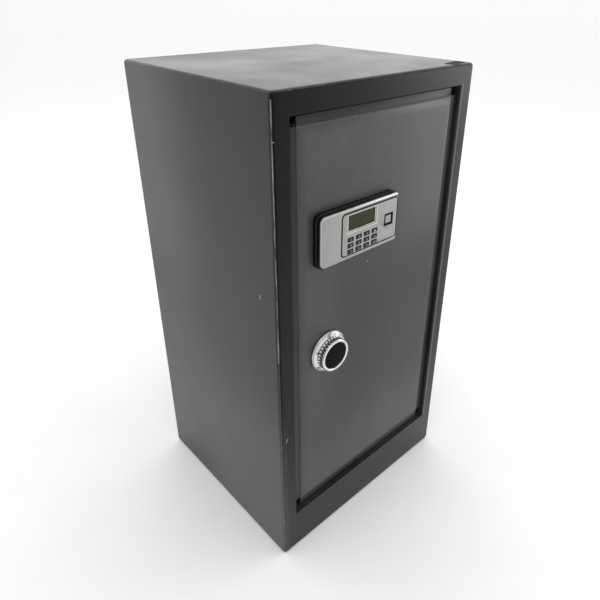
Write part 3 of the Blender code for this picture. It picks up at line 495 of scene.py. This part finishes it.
def felt():
    """Pressed grey felt: crossed fibres and faint paler patches."""
    look = Look("grey_felt", (0.070, 0.070, 0.075), 0.0, 0.95)
    look.set("Sheen Weight", 0.35)
    look.set("Sheen Roughness", 0.6)
    fibre = look.noise((900.0, 700.0, 900.0), 5.0, 0.7, 1.5)
    broad = look.noise(14.0, 4.0, 0.6)
    look.base = look.mix(look.ramp(fibre, 0.3, 0.7), (0.040, 0.040, 0.043), (0.105, 0.105, 0.11))
    look.paint(look.ramp(broad, 0.4, 0.7, 0.0, 0.25), (0.12, 0.12, 0.12))
    look.rough = look.ramp(fibre, 0.2, 0.8, 0.88, 1.0)
    look.bump(fibre, 0.0006, 0.9)
    return look.seal()


def board():
    """Green circuit board with its tracks and solder pads."""
    look = Look("circuit_board", (0.015, 0.11, 0.045), 0.0, 0.35)
    pads = look.ramp(look.cells(300.0), 0.10, 0.06, 0.0, 0.8)
    tracks = look.noise((420.0, 1.0, 60.0), 1.0, 0.3)
    look.base = look.mix(look.ramp(tracks, 0.50, 0.53), (0.010, 0.085, 0.035), (0.018, 0.16, 0.060))
    look.paint(pads, (0.60, 0.58, 0.50))
    look.rough = look.ramp(tracks, 0.4, 0.6, 0.28, 0.42)
    look.bump(tracks, 0.00005, 0.6)
    return look.seal()


def winding():
    """Enamelled copper wire, wound turn by turn up the coil."""
    look = Look("copper_winding", (0.50, 0.20, 0.08), 0.85, 0.32)
    _, _, z = look.xyz()
    # Painted shade darkens the groove between each turn and the next; the same wave bumps the surface.
    turns = look.math("SINE", look.times(z, 2 * math.pi / WIRE_PITCH))
    look.base = look.mix(look.ramp(turns, -0.6, 0.8), (0.16, 0.055, 0.022), (0.62, 0.27, 0.11))
    look.rough = look.ramp(look.noise(60.0), 0.3, 0.7, 0.26, 0.42)
    look.bump(turns, 0.0001, 0.8)
    return look.seal()


def brass():
    """Dull machined brass."""
    look = Look("brass", (0.62, 0.44, 0.18), 1.0, 0.28)
    tone = look.noise(90.0, 4.0, 0.6)
    look.base = look.mix(look.ramp(tone, 0.3, 0.7), (0.48, 0.32, 0.12), (0.70, 0.52, 0.24))
    look.rough = look.ramp(tone, 0.3, 0.7, 0.2, 0.38)
    look.bump(look.noise(700.0), 0.00002, 0.5)
    return look.seal()


LOOKS = {
    "body": body_paint(),
    # The flanges' border: the frame's paint, its shine dulled as painted shade.
    "border": body_paint("border_paint_shaded", 0.38),
    "door": door_paint(),
    "inner": inner_paint(),
    "chrome": chrome(),
    "ribbed_chrome": chrome("ribbed_chrome", True),
    "zinc": steel("zinc_plate", (0.56, 0.57, 0.58), 0.36, spangle=0.5),
    "bright": steel("machined_steel", (0.66, 0.67, 0.68), 0.22, (1500.0, 60.0, 60.0)),
    "pins": steel("pin_steel", (0.60, 0.61, 0.62), 0.25),
    "brass": brass(),
    "copper": winding(),
    "black": plastic("black_plastic", (0.0040, 0.0040, 0.0042), 0.32, 0.00003, 0.14),
    "black_gloss": plastic("black_cap", (0.0012, 0.0012, 0.0011), 0.34, 0.000012, 0.045),
    "rubber": plastic("key_rubber", (0.0085, 0.0085, 0.0085), 0.45, 0.00002, 0.22),
    # Grey of the painted highlight on the housing's ledge.
    "seam": plastic("grey_ledge_highlight", (0.050, 0.050, 0.050), 0.40, 0.00001),
    "ink": plastic("key_ink", (0.42, 0.42, 0.40), 0.55, 0.00001),
    "cream": plastic("cream_bezel", (0.80, 0.80, 0.71), 0.40, 0.00001),
    "red": plastic("red_plastic", (0.40, 0.018, 0.012), 0.38),
    "silver": silver_paint(),
    "silver_with_highlight": silver_paint("silver_with_highlight", True),
    "lcd": display(),
    "felt": felt(),
    "board": board(),
}


# ================================================================ mesh building
def link(name, data):
    obj = bpy.data.objects.new(name, data)
    bpy.context.scene.collection.objects.link(obj)
    return obj


def add_object(name, bm, look, smooth=35.0):
    """Turns the bmesh into an object with this look.  smooth is its sharp angle, or 0 for flat faces."""
    bmesh.ops.recalc_face_normals(bm, faces=bm.faces)
    mesh = bpy.data.meshes.new(name)
    bm.to_mesh(mesh)
    bm.free()
    mesh.materials.append(LOOKS[look])
    if smooth:
        mesh.shade_smooth()
        mesh.set_sharp_from_angle(angle=math.radians(smooth))
    return link(name, mesh)


def keep(obj, body, slot, *nodes):
    """The finished piece rides on its body, in place of the CAD nodes that it stands for."""
    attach(obj, body)
    if nodes:
        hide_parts(*nodes)


def outline(x0, x1, z0, z1, radius, steps):
    """Points round a rectangle with rounded corners."""
    points = []
    for cx, cz, sx, sz, start in ((x0, z0, 1, 1, 180), (x1, z0, -1, 1, 270),
                                  (x1, z1, -1, -1, 0), (x0, z1, 1, -1, 90)):
        for i in range(steps + 1):
            a = math.radians(start + 90.0 * i / steps)
            points.append((cx + sx * radius + radius * math.cos(a),
                           cz + sz * radius + radius * math.sin(a)))
    return points


def ring_at(bm, points, depth):
    """Vertices through these (x, z) points, this far behind the front face of the frame."""
    return [bm.verts.new((x, at(depth), z)) for x, z in points]


def rect_ring(bm, rect, inset, radius, depth, steps):
    x0, x1, z0, z1 = rect
    return ring_at(bm, outline(x0 + inset, x1 - inset, z0 + inset, z1 - inset, radius, steps), depth)


def stack_rings(bm, rings, close_first=True, close_last=True):
    """Skins the rings in order; a closed end gets one face."""
    for low, high in zip(rings, rings[1:]):
        n = len(low)
        for i in range(n):
            bm.faces.new((low[i], low[(i + 1) % n], high[(i + 1) % n], high[i]))
    if close_first:
        bm.faces.new(rings[0])
    if close_last:
        bm.faces.new(rings[-1])


TIGHTEST = 0.0002       # smallest corner radius that a loft draws


def loft(bm, rect, radius, profile, steps, closed=False):
    """Rounded rectangles stacked along Y.  Profile rows are (inset, depth)."""
    rings = [rect_ring(bm, rect, inset, max(radius - inset, TIGHTEST), depth, steps)
             for inset, depth in profile]
    if closed:
        rings.append(rings[0])
    stack_rings(bm, rings, not closed, not closed)


def lofted(name, rect, radius, profile, look, steps, closed=False):
    bm = bmesh.new()
    loft(bm, rect, radius, profile, steps, closed)
    return add_object(name, bm, look)


def spun(name, profile, place, segments, look, smooth=35.0, closed=False, ripple=None):
    """Solid of revolution; place(c, s, along) gives the point.  Ripple draws the radius in."""
    bm = bmesh.new()
    rings = []
    for row, (radius, along) in enumerate(profile):
        ring = []
        for i in range(segments):
            a = 2 * math.pi * i / segments
            r = radius - (ripple(row, a) if ripple else 0.0)
            ring.append(bm.verts.new(place(r * math.cos(a), r * math.sin(a), along)))
        rings.append(ring)
    if closed:
        rings.append(rings[0])
    stack_rings(bm, rings, not closed, not closed)
    return add_object(name, bm, look, smooth)


def fillet(profile, radius, steps=4):
    """Rounds the inner corners of an open profile."""
    out = [profile[0]]
    for before, here, after in zip(profile, profile[1:], profile[2:]):
        p, q, r = Vector(before), Vector(here), Vector(after)
        back, on = p - q, r - q
        reach = min(radius, back.length * 0.45, on.length * 0.45)
        start, end = q + back.normalized() * reach, q + on.normalized() * reach
        for i in range(steps + 1):
            t = i / steps
            point = start * (1 - t) ** 2 + q * (2 * t * (1 - t)) + end * t * t
            out.append((point.x, point.y))
    return out + [profile[-1]]


# ================================================================ carried-over CAD nodes
CARRIED = {     # node: look, and width of its broken edges
    "body_shell": ("body", 0.0012), "back_plate": ("body", 0.0006),
    "hinge_block_top": ("zinc", 0.0004), "hinge_block_bottom": ("zinc", 0.0004),
    "bolt_strike": ("inner", 0.0004), "shelf_rail_left": ("inner", 0.0004),
    "shelf_rail_right": ("inner", 0.0004), "shelf": ("inner", 0.0006), "bolt_box": ("inner", 0.0004),
    "door_back_cover": ("inner", 0.0004), "anti_pry_bar": ("zinc", 0.0004),
    "hinge_pin_top": ("pins", 0.0003), "hinge_pin_bottom": ("pins", 0.0003),
    "guide_pin_upper": ("pins", 0.0003), "guide_pin_lower": ("pins", 0.0003),
    "cover_screw_1": ("zinc", 0.0002), "cover_screw_2": ("zinc", 0.0002),
    "cover_screw_3": ("zinc", 0.0002), "cover_screw_4": ("zinc", 0.0002),
    "bolt_carriage": ("zinc", 0.0002), "knob_spindle": ("pins", 0.0003),
    "drive_pinion": ("pins", 0.0001), "spindle_bush": ("brass", 0.0003),
    "solenoid_yoke": ("zinc", 0.0004), "solenoid_coil": ("copper", 0.0002),
    "solenoid_plunger": ("pins", 0.0003), "plunger_spring": ("pins", 0.0),
    "circuit_board": ("board", 0.0001), "keypad_face": ("silver", 0.00025),
    "lock_body": ("chrome", 0.0004), "lock_plug": ("brass", 0.0002), "lock_cam": ("zinc", 0.0003),
    "battery_box": ("black", 0.0004), "battery_lid": ("black", 0.0004), "reset_button": ("red", 0.0003),
}
# Large pressed sheets, whose long faces need their normals evened out.
BROAD = {"body_shell", "back_plate", "door_back_cover", "shelf", "bolt_box", "bolt_strike"}
SHARP_ANGLE, WELD_DISTANCE = 38.0, 0.000005


def dress(node, look, bevel):
    """A CAD node keeps its shape; its sharp edges are broken and it gets a real finish."""
    obj = NODES[node]
    obj.data.materials.clear()
    obj.data.materials.append(LOOKS[look])
    obj.data.shade_smooth()
    weld = obj.modifiers.new("weld", "WELD")
    weld.merge_threshold = WELD_DISTANCE
    if bevel:
        edge = obj.modifiers.new("broken_edge", "BEVEL")
        edge.width = bevel
        edge.segments = 2
        edge.limit_method = "ANGLE"
        edge.angle_limit = math.radians(SHARP_ANGLE)
        edge.harden_normals = node not in BROAD
    if node in BROAD:
        even = obj.modifiers.new("flat_faces_stay_flat", "WEIGHTED_NORMAL")
        even.mode = "FACE_AREA"
        even.weight = 60


def dress_all():
    for node, (look, bevel) in CARRIED.items():
        dress(node, look, bevel)


# ================================================================ door skin
def make_door_skin():
    """Outer sheet: a flat plate that rolls softly down all round, and the four folded flanges."""
    seam, tuck, back = 0.0004, 0.0025, FLANGE_DEPTH + SHEET
    middle, roll, steps, curve = 0.030, 0.0150, 14, 2.1
    drop = FLANGE_DEPTH - seam - PLATE_DEPTH
    left, right, (low, high) = -PLATE_HALF_W, PLATE_HALF_W, PLATE_Z

    profile = [(middle, PLATE_DEPTH)]
    for i in range(steps + 1):
        t = i / steps
        profile.append((roll * (1.0 - t), PLATE_DEPTH + drop * t ** curve))
    profile += [(0.0, back), (SHEET, back), (SHEET, FLANGE_DEPTH + seam), (middle, PLATE_DEPTH + SHEET)]
    bm = bmesh.new()
    stack_rings(bm, [ring_at(bm, [(left + inset, low + inset), (right - inset, low + inset),
                                  (right - inset, high - inset), (left + inset, high - inset)], depth)
                     for inset, depth in profile])
    keep(add_object("door_skin", bm, "door", 40.0), "door", "charcoal_paint", "door_pan")

    strips = [(-FLANGE_HALF_W, left + tuck, low + seam, high - seam),
              (right - tuck, FLANGE_HALF_W, low + seam, high - seam),
              (left + seam, right - seam, FLANGE_Z[0], low + tuck),
              (left + seam, right - seam, high - tuck, FLANGE_Z[1])]
    strip = [(0.0008, FLANGE_DEPTH), (0.0003, FLANGE_DEPTH + 0.0002), (0.0, FLANGE_DEPTH + 0.0007),
             (0.0, back - 0.0005), (0.0004, back)]
    bm = bmesh.new()
    for rect in strips:
        loft(bm, rect, 0.0012, strip, 3)
    keep(add_object("door_flanges", bm, "border"), "door", "charcoal_paint")


# ================================================================ knob
RIBS = 30
GRIP_SEGMENTS, ROUND_SEGMENTS = 360, 128
FLUTE_DEPTH = {3: 0.0006, 4: 0.0020, 5: 0.0020, 6: 0.0019, 7: 0.0006}     # by row of the grip's profile
FLUTE_POWER = 1.6       # above 1, the ribs are broader than the flutes


def on_knob(c, s, along):
    return (KNOB[0] + c, at(along), KNOB[1] + s)


def flute(row, angle):
    return FLUTE_DEPTH.get(row, 0.0) * (0.5 - 0.5 * math.cos(RIBS * angle)) ** FLUTE_POWER


def make_knob():
    """Flange on the door, fluted grip and its black cap.  Profile rows are (radius, depth)."""
    plate = PLATE_DEPTH - 0.0003
    rim = [(0.0092, plate), (0.0350, plate), (0.0350, -0.0010), (0.0342, -0.0024), (0.0328, -0.0030),
           (0.0322, -0.0036), (0.0312, -0.0040), (0.0306, -0.0050), (0.0296, -0.0057), (0.0282, -0.0060),
           (0.0092, -0.0060)]
    rim = fillet(rim + [rim[0]], 0.0009)[:-1]
    keep(spun("knob_flange", rim, on_knob, ROUND_SEGMENTS, "chrome", closed=True),
         "door", "chrome", "knob_escutcheon")

    barrel = [(0.0055, -0.0064), (0.0268, -0.0064), (0.0276, -0.0066), (0.0278, -0.0070), (0.0277, -0.0078),
              (0.0274, -0.0110), (0.0271, -0.0148), (0.0270, -0.0153), (0.0267, -0.0156), (0.0263, -0.0158),
              (0.0263, -0.0160), (0.0267, -0.0163), (0.0269, -0.0169), (0.0266, -0.0175), (0.0258, -0.0179),
              (0.0247, -0.0180), (0.0236, -0.0179), (0.0229, -0.0175), (0.0226, -0.0168), (0.0226, -0.0137),
              (0.0055, -0.0137)]
    grip = spun("knob_grip", barrel, on_knob, GRIP_SEGMENTS, "ribbed_chrome", 60.0, True, flute)
    keep(grip, "knob", "chrome", "knob_barrel")

    cap = [(0.0219, -0.0140), (0.0221, -0.0160), (0.0220, -0.0165), (0.0215, -0.0169),
           (0.0200, -0.01705), (0.0195, -0.01700), (0.0190, -0.01705), (0.0140, -0.01715),
           (0.0080, -0.01722), (0.0020, -0.01725)]
    keep(spun("knob_insert", cap, on_knob, ROUND_SEGMENTS, "black_gloss"),
         "knob", "black_plastic", "knob_cap")


# ================================================================ keypad
def arc(cx, cz, radius, start, end, steps=10):
    """Points (x, z) along a circle's arc, with its angles in degrees."""
    angles = [math.radians(start + (end - start) * i / steps) for i in range(steps + 1)]
    return [(cx + radius * math.cos(a), cz + radius * math.sin(a)) for a in angles]


def c_outline(t):
    """Outline of the sliding cover, drawn in by t: a rounded plate with a bay open to the right."""
    left, right, low, high, r = -0.1360 + t, 0.0225 - t, 0.5520 + t, 0.6290 - t, 0.0090 - t
    bay_left, bay_low, bay_high, b = -0.0972 - t, 0.5568 - t, 0.6242 + t, 0.0068 + t
    tip, nick = 0.0032 - t, max(0.0006 - t, 0.0002)
    points = arc(left + r, low + r, r, 180, 270)
    points += arc(right - tip, low + tip, tip, 270, 360, 4)
    points += arc(right - nick, bay_low - nick, nick, 0, 90, 4)
    points += arc(bay_left + b, bay_low + b, b, 270, 180)
    points += arc(bay_left + b, bay_high - b, b, 180, 90)
    points += arc(right - nick, bay_high + nick, nick, 270, 360, 4)
    points += arc(right - tip, high - tip, tip, 0, 90, 4)
    points += arc(left + r, high - r, r, 90, 180)
    return points


def make_housing():
    rect = around(PAD, 0.0825, 0.0415)
    shell = [(0.0003, 0.0022), (0.0, 0.0018), (0.0, -0.0020), (0.0003, -0.0025), (0.0010, -0.0027),
             (0.0016, -0.0027), (0.0017, -0.0030), (0.0017, -0.0036), (0.0012, -0.0039), (0.0009, -0.0044),
             (0.0009, -0.0080), (0.0012, -0.0087), (0.0018, -0.0090), (0.0145, -0.0090),
             (0.0150, -0.0085), (0.0150, -0.0012), (0.020, -0.0010)]
    keep(lofted("pad_housing", rect, 0.011, shell, "black", 10),
         "door", "black_plastic", "keypad_housing")
    # Painted highlight: a grey ring on the ledge between the housing's two black steps, where the edge
    # catches the light.
    seam = [(0.0014, -0.0028), (0.0009, -0.0029), (0.0007, -0.0032), (0.0008, -0.0035), (0.0014, -0.0036),
            (0.0022, -0.0036), (0.0022, -0.0028)]
    keep(lofted("pad_ledge_highlight", rect, 0.011, seam, "seam", 10, closed=True), "door", "black_plastic")


def make_cover():
    """Sliding silver cover, and the black rim round the key panel in the gap beside it."""
    edge = [(0.0, -0.0093), (0.0, -0.0106), (0.0001, -0.0112), (0.0004, -0.0117), (0.0009, -0.0121),
            (0.0013, -0.0122)]
    bm = bmesh.new()
    stack_rings(bm, [ring_at(bm, c_outline(t), depth) for t, depth in edge])
    keep(add_object("sliding_cover", bm, "silver_with_highlight", 40.0),
         "cover_slide", "silver_plastic", "key_cover")

    panel = (-0.0970, 0.0225, 0.5570, 0.6240)
    rim = [(0.0, -0.0094), (0.0, -0.0119), (0.0002, -0.01215), (0.0017, -0.01215), (0.0019, -0.0120),
           (0.0019, -0.0094)]
    keep(lofted("panel_rim", panel, 0.0065, rim, "black", 8, closed=True), "door", "black_plastic")


def make_button():
    """Square button in its own well, with a black collar round its silver top."""
    well = [(0.0, -0.0092), (0.0, -0.0118), (0.0002, -0.01215), (0.0010, -0.01215), (0.0018, -0.0110),
            (0.0021, -0.0080), (0.0021, -0.0042), (0.0, -0.0042)]
    ring = lofted("button_well", around(BUTTON, 0.0099, 0.0099), 0.0008, well, "black", 3, closed=True)
    keep(ring, "door", "black_plastic")

    rect = around(BUTTON, 0.0073, 0.0073)
    top = [(0.0013, -0.0046), (0.0013, -0.0109), (0.0015, -0.0113), (0.0019, -0.01145), (0.0030, -0.0114),
           (0.0055, -0.0113), (0.0060, -0.0111), (0.0063, -0.0108), (0.0064, -0.0106)]
    keep(lofted("square_button", rect, 0.0012, top, "silver", 4),
         "touch_pad", "silver_plastic", "touch_button")
    collar = [(0.0, -0.0048), (0.0, -0.0106), (0.0002, -0.0109), (0.0010, -0.0109), (0.0012, -0.0107),
              (0.0012, -0.0048)]
    keep(lofted("button_collar", rect, 0.0012, collar, "black", 4, closed=True),
         "touch_pad", "black_plastic")


def make_display():
    """Pale moulded recess with the display at its back.  Its rows are (rectangle, inset, radius, depth)."""
    x0, x1, z0, z1 = LCD
    mouth = (x0 - 0.0018, x1 + 0.0030, z0 - 0.0032, z1 + 0.0010)
    rows = [(mouth, 0.0, 0.0008, -0.0093), (mouth, 0.0, 0.0008, -0.01185), (mouth, 0.0, 0.0008, -0.01212),
            (mouth, 0.0003, 0.0004, -0.01215), (LCD, -0.0002, 0.0004, -0.0110),
            (LCD, -0.0001, 0.0004, -0.0095), (LCD, -0.0001, 0.0004, -0.0093)]
    bm = bmesh.new()
    rings = [rect_ring(bm, rect, inset, radius, depth, 3) for rect, inset, radius, depth in rows]
    stack_rings(bm, rings + rings[:1], False, False)
    keep(add_object("lcd_surround", bm, "cream", 30.0), "door", "silver_plastic")
    glass = lofted("lcd_glass", LCD, 0.0003, [(0.0, -0.0046), (0.0, -0.0097), (0.0002, -0.0099)], "lcd", 2)
    keep(glass, "door", "lcd_glass", "lcd_module")


MARK_DEPTH, MARK_HALF_THICKNESS = -0.01303, 0.00003     # the marks stand just proud of the caps
DIGIT_SIZE, SIGN_SIZE = 0.0046, 0.0040
HALF_TURN = [math.pi * i / 10 for i in range(11)]
SIGNS = {                                               # outlines, in units of the sign's size
    "lock": [                                           # a padlock: its body, then its shackle
        [(-0.40, -0.50), (0.40, -0.50), (0.40, 0.08), (-0.40, 0.08)],
        [(0.30 * math.cos(a), 0.10 + 0.34 * math.sin(a)) for a in HALF_TURN]
        + [(0.18 * math.cos(a), 0.10 + 0.21 * math.sin(a)) for a in reversed(HALF_TURN)]],
    "enter": [                                          # an arrow that turns back to the left
        [(-0.50, -0.10), (-0.18, 0.20), (-0.18, -0.02), (0.32, -0.02), (0.32, 0.40), (0.48, 0.40),
         (0.48, -0.18), (-0.18, -0.18), (-0.18, -0.40)]],
}


def make_digit(name, text, x, z):
    """A plain number as a thin solid, made from Blender's own font."""
    curve = bpy.data.curves.new("legend", "FONT")
    curve.body = text
    curve.align_x, curve.align_y = "CENTER", "CENTER"
    curve.size = DIGIT_SIZE
    curve.extrude = MARK_HALF_THICKNESS
    curve.resolution_u = 4
    holder = link("legend", curve)
    graph = bpy.context.evaluated_depsgraph_get()
    mesh = bpy.data.meshes.new_from_object(holder.evaluated_get(graph))
    bpy.data.objects.remove(holder)
    mesh.transform(Matrix.Translation((x, at(MARK_DEPTH), z)) @ Matrix.Rotation(math.pi / 2, 4, "X"))
    mesh.materials.clear()
    mesh.materials.append(LOOKS["ink"])
    return link(name, mesh)


def make_sign(name, outlines, x, z):
    bm = bmesh.new()
    for points in outlines:
        placed = [(x + px * SIGN_SIZE, z + pz * SIGN_SIZE) for px, pz in points]
        stack_rings(bm, [ring_at(bm, placed, MARK_DEPTH - MARK_HALF_THICKNESS),
                         ring_at(bm, placed, MARK_DEPTH + MARK_HALF_THICKNESS)])
    return add_object(name, bm, "ink", 0)


def make_keys():
    cap = [(0.0, -0.0046), (0.0, -0.0118), (0.0001, -0.0123), (0.0004, -0.0127),
           (0.0010, -0.01292), (0.0018, -0.0130), (0.0028, -0.0130)]
    for labels, z in zip(KEYS, KEY_ROWS):
        for label, x in zip(labels, KEY_COLUMNS):
            node, mark = "key_" + label, "mark_" + label
            key = lofted("cap_" + label, around((x, z), 0.0060, 0.00325), 0.0011, cap, "rubber", 4)
            keep(key, node + "_body", "black_plastic", node)
            glyph = make_sign(mark, SIGNS[label], x, z) if label in SIGNS else make_digit(mark, label, x, z)
            keep(glyph, node + "_body", "black_plastic")


# ================================================================ bolts
def make_bolts():
    """Bright live bolts, each with its nut and stud at the carriage.  Profile rows are (radius, x)."""
    shoulder, clamp = -0.1333, -0.1297
    bolt = [(0.0060, -0.1700), (0.0072, -0.1697), (0.0078, -0.1690), (0.0080, -0.1680), (0.0080, -0.1345),
            (0.0078, -0.1338), (0.0076, shoulder), (0.0040, shoulder), (0.0040, clamp)]
    nut = [(0.0060, clamp), (0.0067, clamp + 0.0006), (0.0067, clamp + 0.0044), (0.0060, clamp + 0.0050)]
    root, crest, half_pitch = 0.0032, 0.0036, 0.0005
    thread = [(crest if i % 2 else root, clamp + i * half_pitch) for i in range(17)]
    for name, height in BOLTS.items():
        def place(c, s, along):
            return (along, at(BOLT_DEPTH) + c, height + s)
        keep(spun("bolt_" + name, bolt, place, 64, "bright"),
             "bolt_work", "bright_steel", "live_bolt_" + name)
        keep(spun("bolt_nut_" + name, nut, place, 6, "zinc"), "bolt_work", "bright_steel")
        keep(spun("bolt_stud_" + name, thread, place, 32, "bright"), "bolt_work", "bright_steel")


# ================================================================ floor mat
def make_mat():
    """Felt floor mat with softened edges and a very low swell."""
    rng = random.Random(7)
    low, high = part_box("floor_mat")
    nx, ny = 56, 50
    swell_height, clearance = 0.0003, 0.0003
    edge_drops, edge_inset = (0.0016, 0.0004, 0.0001), 0.0008
    bm = bmesh.new()
    waves = [(rng.uniform(8, 26), rng.uniform(8, 26), rng.uniform(0, 6.28)) for _ in range(6)]

    def swell(x, y):
        return sum(math.sin(a * x + b * y + p) for a, b, p in waves) / len(waves)
    top, bottom = [], []
    for j in range(ny + 1):
        for i in range(nx + 1):
            x = low.x + (high.x - low.x) * (i / nx)
            y = low.y + (high.y - low.y) * (j / ny)
            edge = min(i, nx - i, j, ny - j)
            drop = edge_drops[edge] if edge < len(edge_drops) else 0.0
            inset = edge_inset if edge == 0 else 0.0
            x += inset * ((i == 0) - (i == nx))
            y += inset * ((j == 0) - (j == ny))
            top.append(bm.verts.new((x, y, high.z - clearance - drop + swell_height * swell(x, y))))
            bottom.append(bm.verts.new((x, y, low.z)))
    w = nx + 1
    for j in range(ny):
        for i in range(nx):
            k = j * w + i
            bm.faces.new((top[k], top[k + 1], top[k + w + 1], top[k + w]))
            bm.faces.new((bottom[k], bottom[k + w], bottom[k + w + 1], bottom[k + 1]))
    rim = (list(range(nx)) + [nx + j * w for j in range(ny)]
           + [ny * w + i for i in range(nx, 0, -1)] + [j * w for j in range(ny, 0, -1)])
    for a, b in zip(rim, rim[1:] + rim[:1]):
        bm.faces.new((top[a], bottom[a], bottom[b], top[b]))
    keep(add_object("felt_mat", bm, "felt", 60.0), "safe_body", "grey_felt", "floor_mat")


# ================================================================ weld at the back
def make_back_weld():
    """Bead laid inside along the edges of the back plate, which closes the gap round it."""
    inside, plate = HALF_W - SHEET, 2 * HALF_D - SHEET
    bead = [(0.0, plate - 0.0030), (0.0012, plate - 0.0026), (0.0024, plate - 0.0015),
            (0.0030, plate + 0.0002), (0.0, plate + 0.0002)]
    rect = (-inside, inside, SHEET, HEIGHT - SHEET)
    keep(lofted("back_weld", rect, 0.0004, bead, "inner", 2, closed=True), "safe_body", "charcoal_paint")


# ================================================================ studio
def make_floor():
    mesh = bpy.data.meshes.new("floor")
    corners = [(-FLOOR_SPAN, -FLOOR_SPAN), (FLOOR_SPAN, -FLOOR_SPAN), (FLOOR_SPAN, FLOOR_SPAN),
               (-FLOOR_SPAN, FLOOR_SPAN)]
    mesh.from_pydata([(x, y, FLOOR_Z) for x, y in corners], [], [(0, 1, 2, 3)])
    look = Look("pale_floor", (0.90, 0.90, 0.895), 0.0, 0.60)
    look.set("Specular IOR Level", 0.15)
    speckle = look.noise(6.0, 4.0, 0.6)
    look.base = look.mix(look.ramp(speckle, 0.3, 0.7), (0.89, 0.89, 0.885), (0.91, 0.91, 0.905))
    look.rough = look.ramp(speckle, 0.3, 0.7, 0.55, 0.65)
    mesh.materials.append(look.seal())
    link("floor", mesh)


def make_light():
    """Even white light, with a brighter window low down behind the safe on the right."""
    world = bpy.data.worlds.new("studio")
    world.use_nodes = True
    bpy.context.scene.world = world
    sky = Nodes(world.node_tree, "Generated")
    yaw = math.radians(WINDOW_YAW)
    facing = sky.vector("DOT_PRODUCT", sky.coords, (math.sin(yaw), math.cos(yaw), 0.0)).outputs["Value"]
    side = sky.ramp(facing, math.cos(math.radians(WINDOW_EDGE)), math.cos(math.radians(WINDOW_CORE)))
    low_down = sky.ramp(sky.xyz()[2], WINDOW_TOP, WINDOW_FULL)
    background = world.node_tree.nodes["Background"]
    sky.plug(background.inputs["Strength"], sky.plus(sky.times(side, low_down, WINDOW_GLOW), SKY))
    sky.plug(background.inputs["Color"], (*WHITE, 1.0))

    for name, place, aim, size, watts in SOFTBOXES:
        light = bpy.data.lights.new(name, "AREA")
        light.shape = "RECTANGLE"
        light.size, light.size_y = size
        light.energy = watts
        box = link(name, light)
        box.location = place
        box.rotation_euler = (Vector(aim) - Vector(place)).to_track_quat("-Z", "Y").to_euler()


def make_camera():
    """Camera at the photograph's viewpoint.  Yaw turns it right of facing the front; pitch is from level."""
    yaw, pitch, roll = (math.radians(a) for a in (CAMERA_YAW, CAMERA_PITCH, CAMERA_ROLL))
    forward = Vector((math.cos(pitch) * math.sin(yaw), math.cos(pitch) * math.cos(yaw), math.sin(pitch)))
    right = forward.cross(Vector((0, 0, 1))).normalized()
    up = right.cross(forward)
    right, up = (right * math.cos(roll) + up * math.sin(roll),
                 up * math.cos(roll) - right * math.sin(roll))
    camera = bpy.data.cameras.new("camera")
    camera.sensor_width = CAMERA_SENSOR
    camera.lens = CAMERA_LENS
    camera.shift_x, camera.shift_y = CAMERA_SHIFT
    camera.clip_start, camera.clip_end = CAMERA_CLIP
    obj = link("camera", camera)
    basis = Matrix((right, up, -forward)).transposed().to_4x4()
    obj.matrix_world = Matrix.Translation(CAMERA_PLACE) @ basis
    bpy.context.scene.camera = obj
    bpy.context.scene.view_settings.view_transform = "Standard"


make_floor()
make_light()
make_camera()
dress_all()
make_door_skin()
make_knob()
make_housing()
make_cover()
make_button()
make_display()
make_keys()
make_bolts()
make_mat()
make_back_weld()
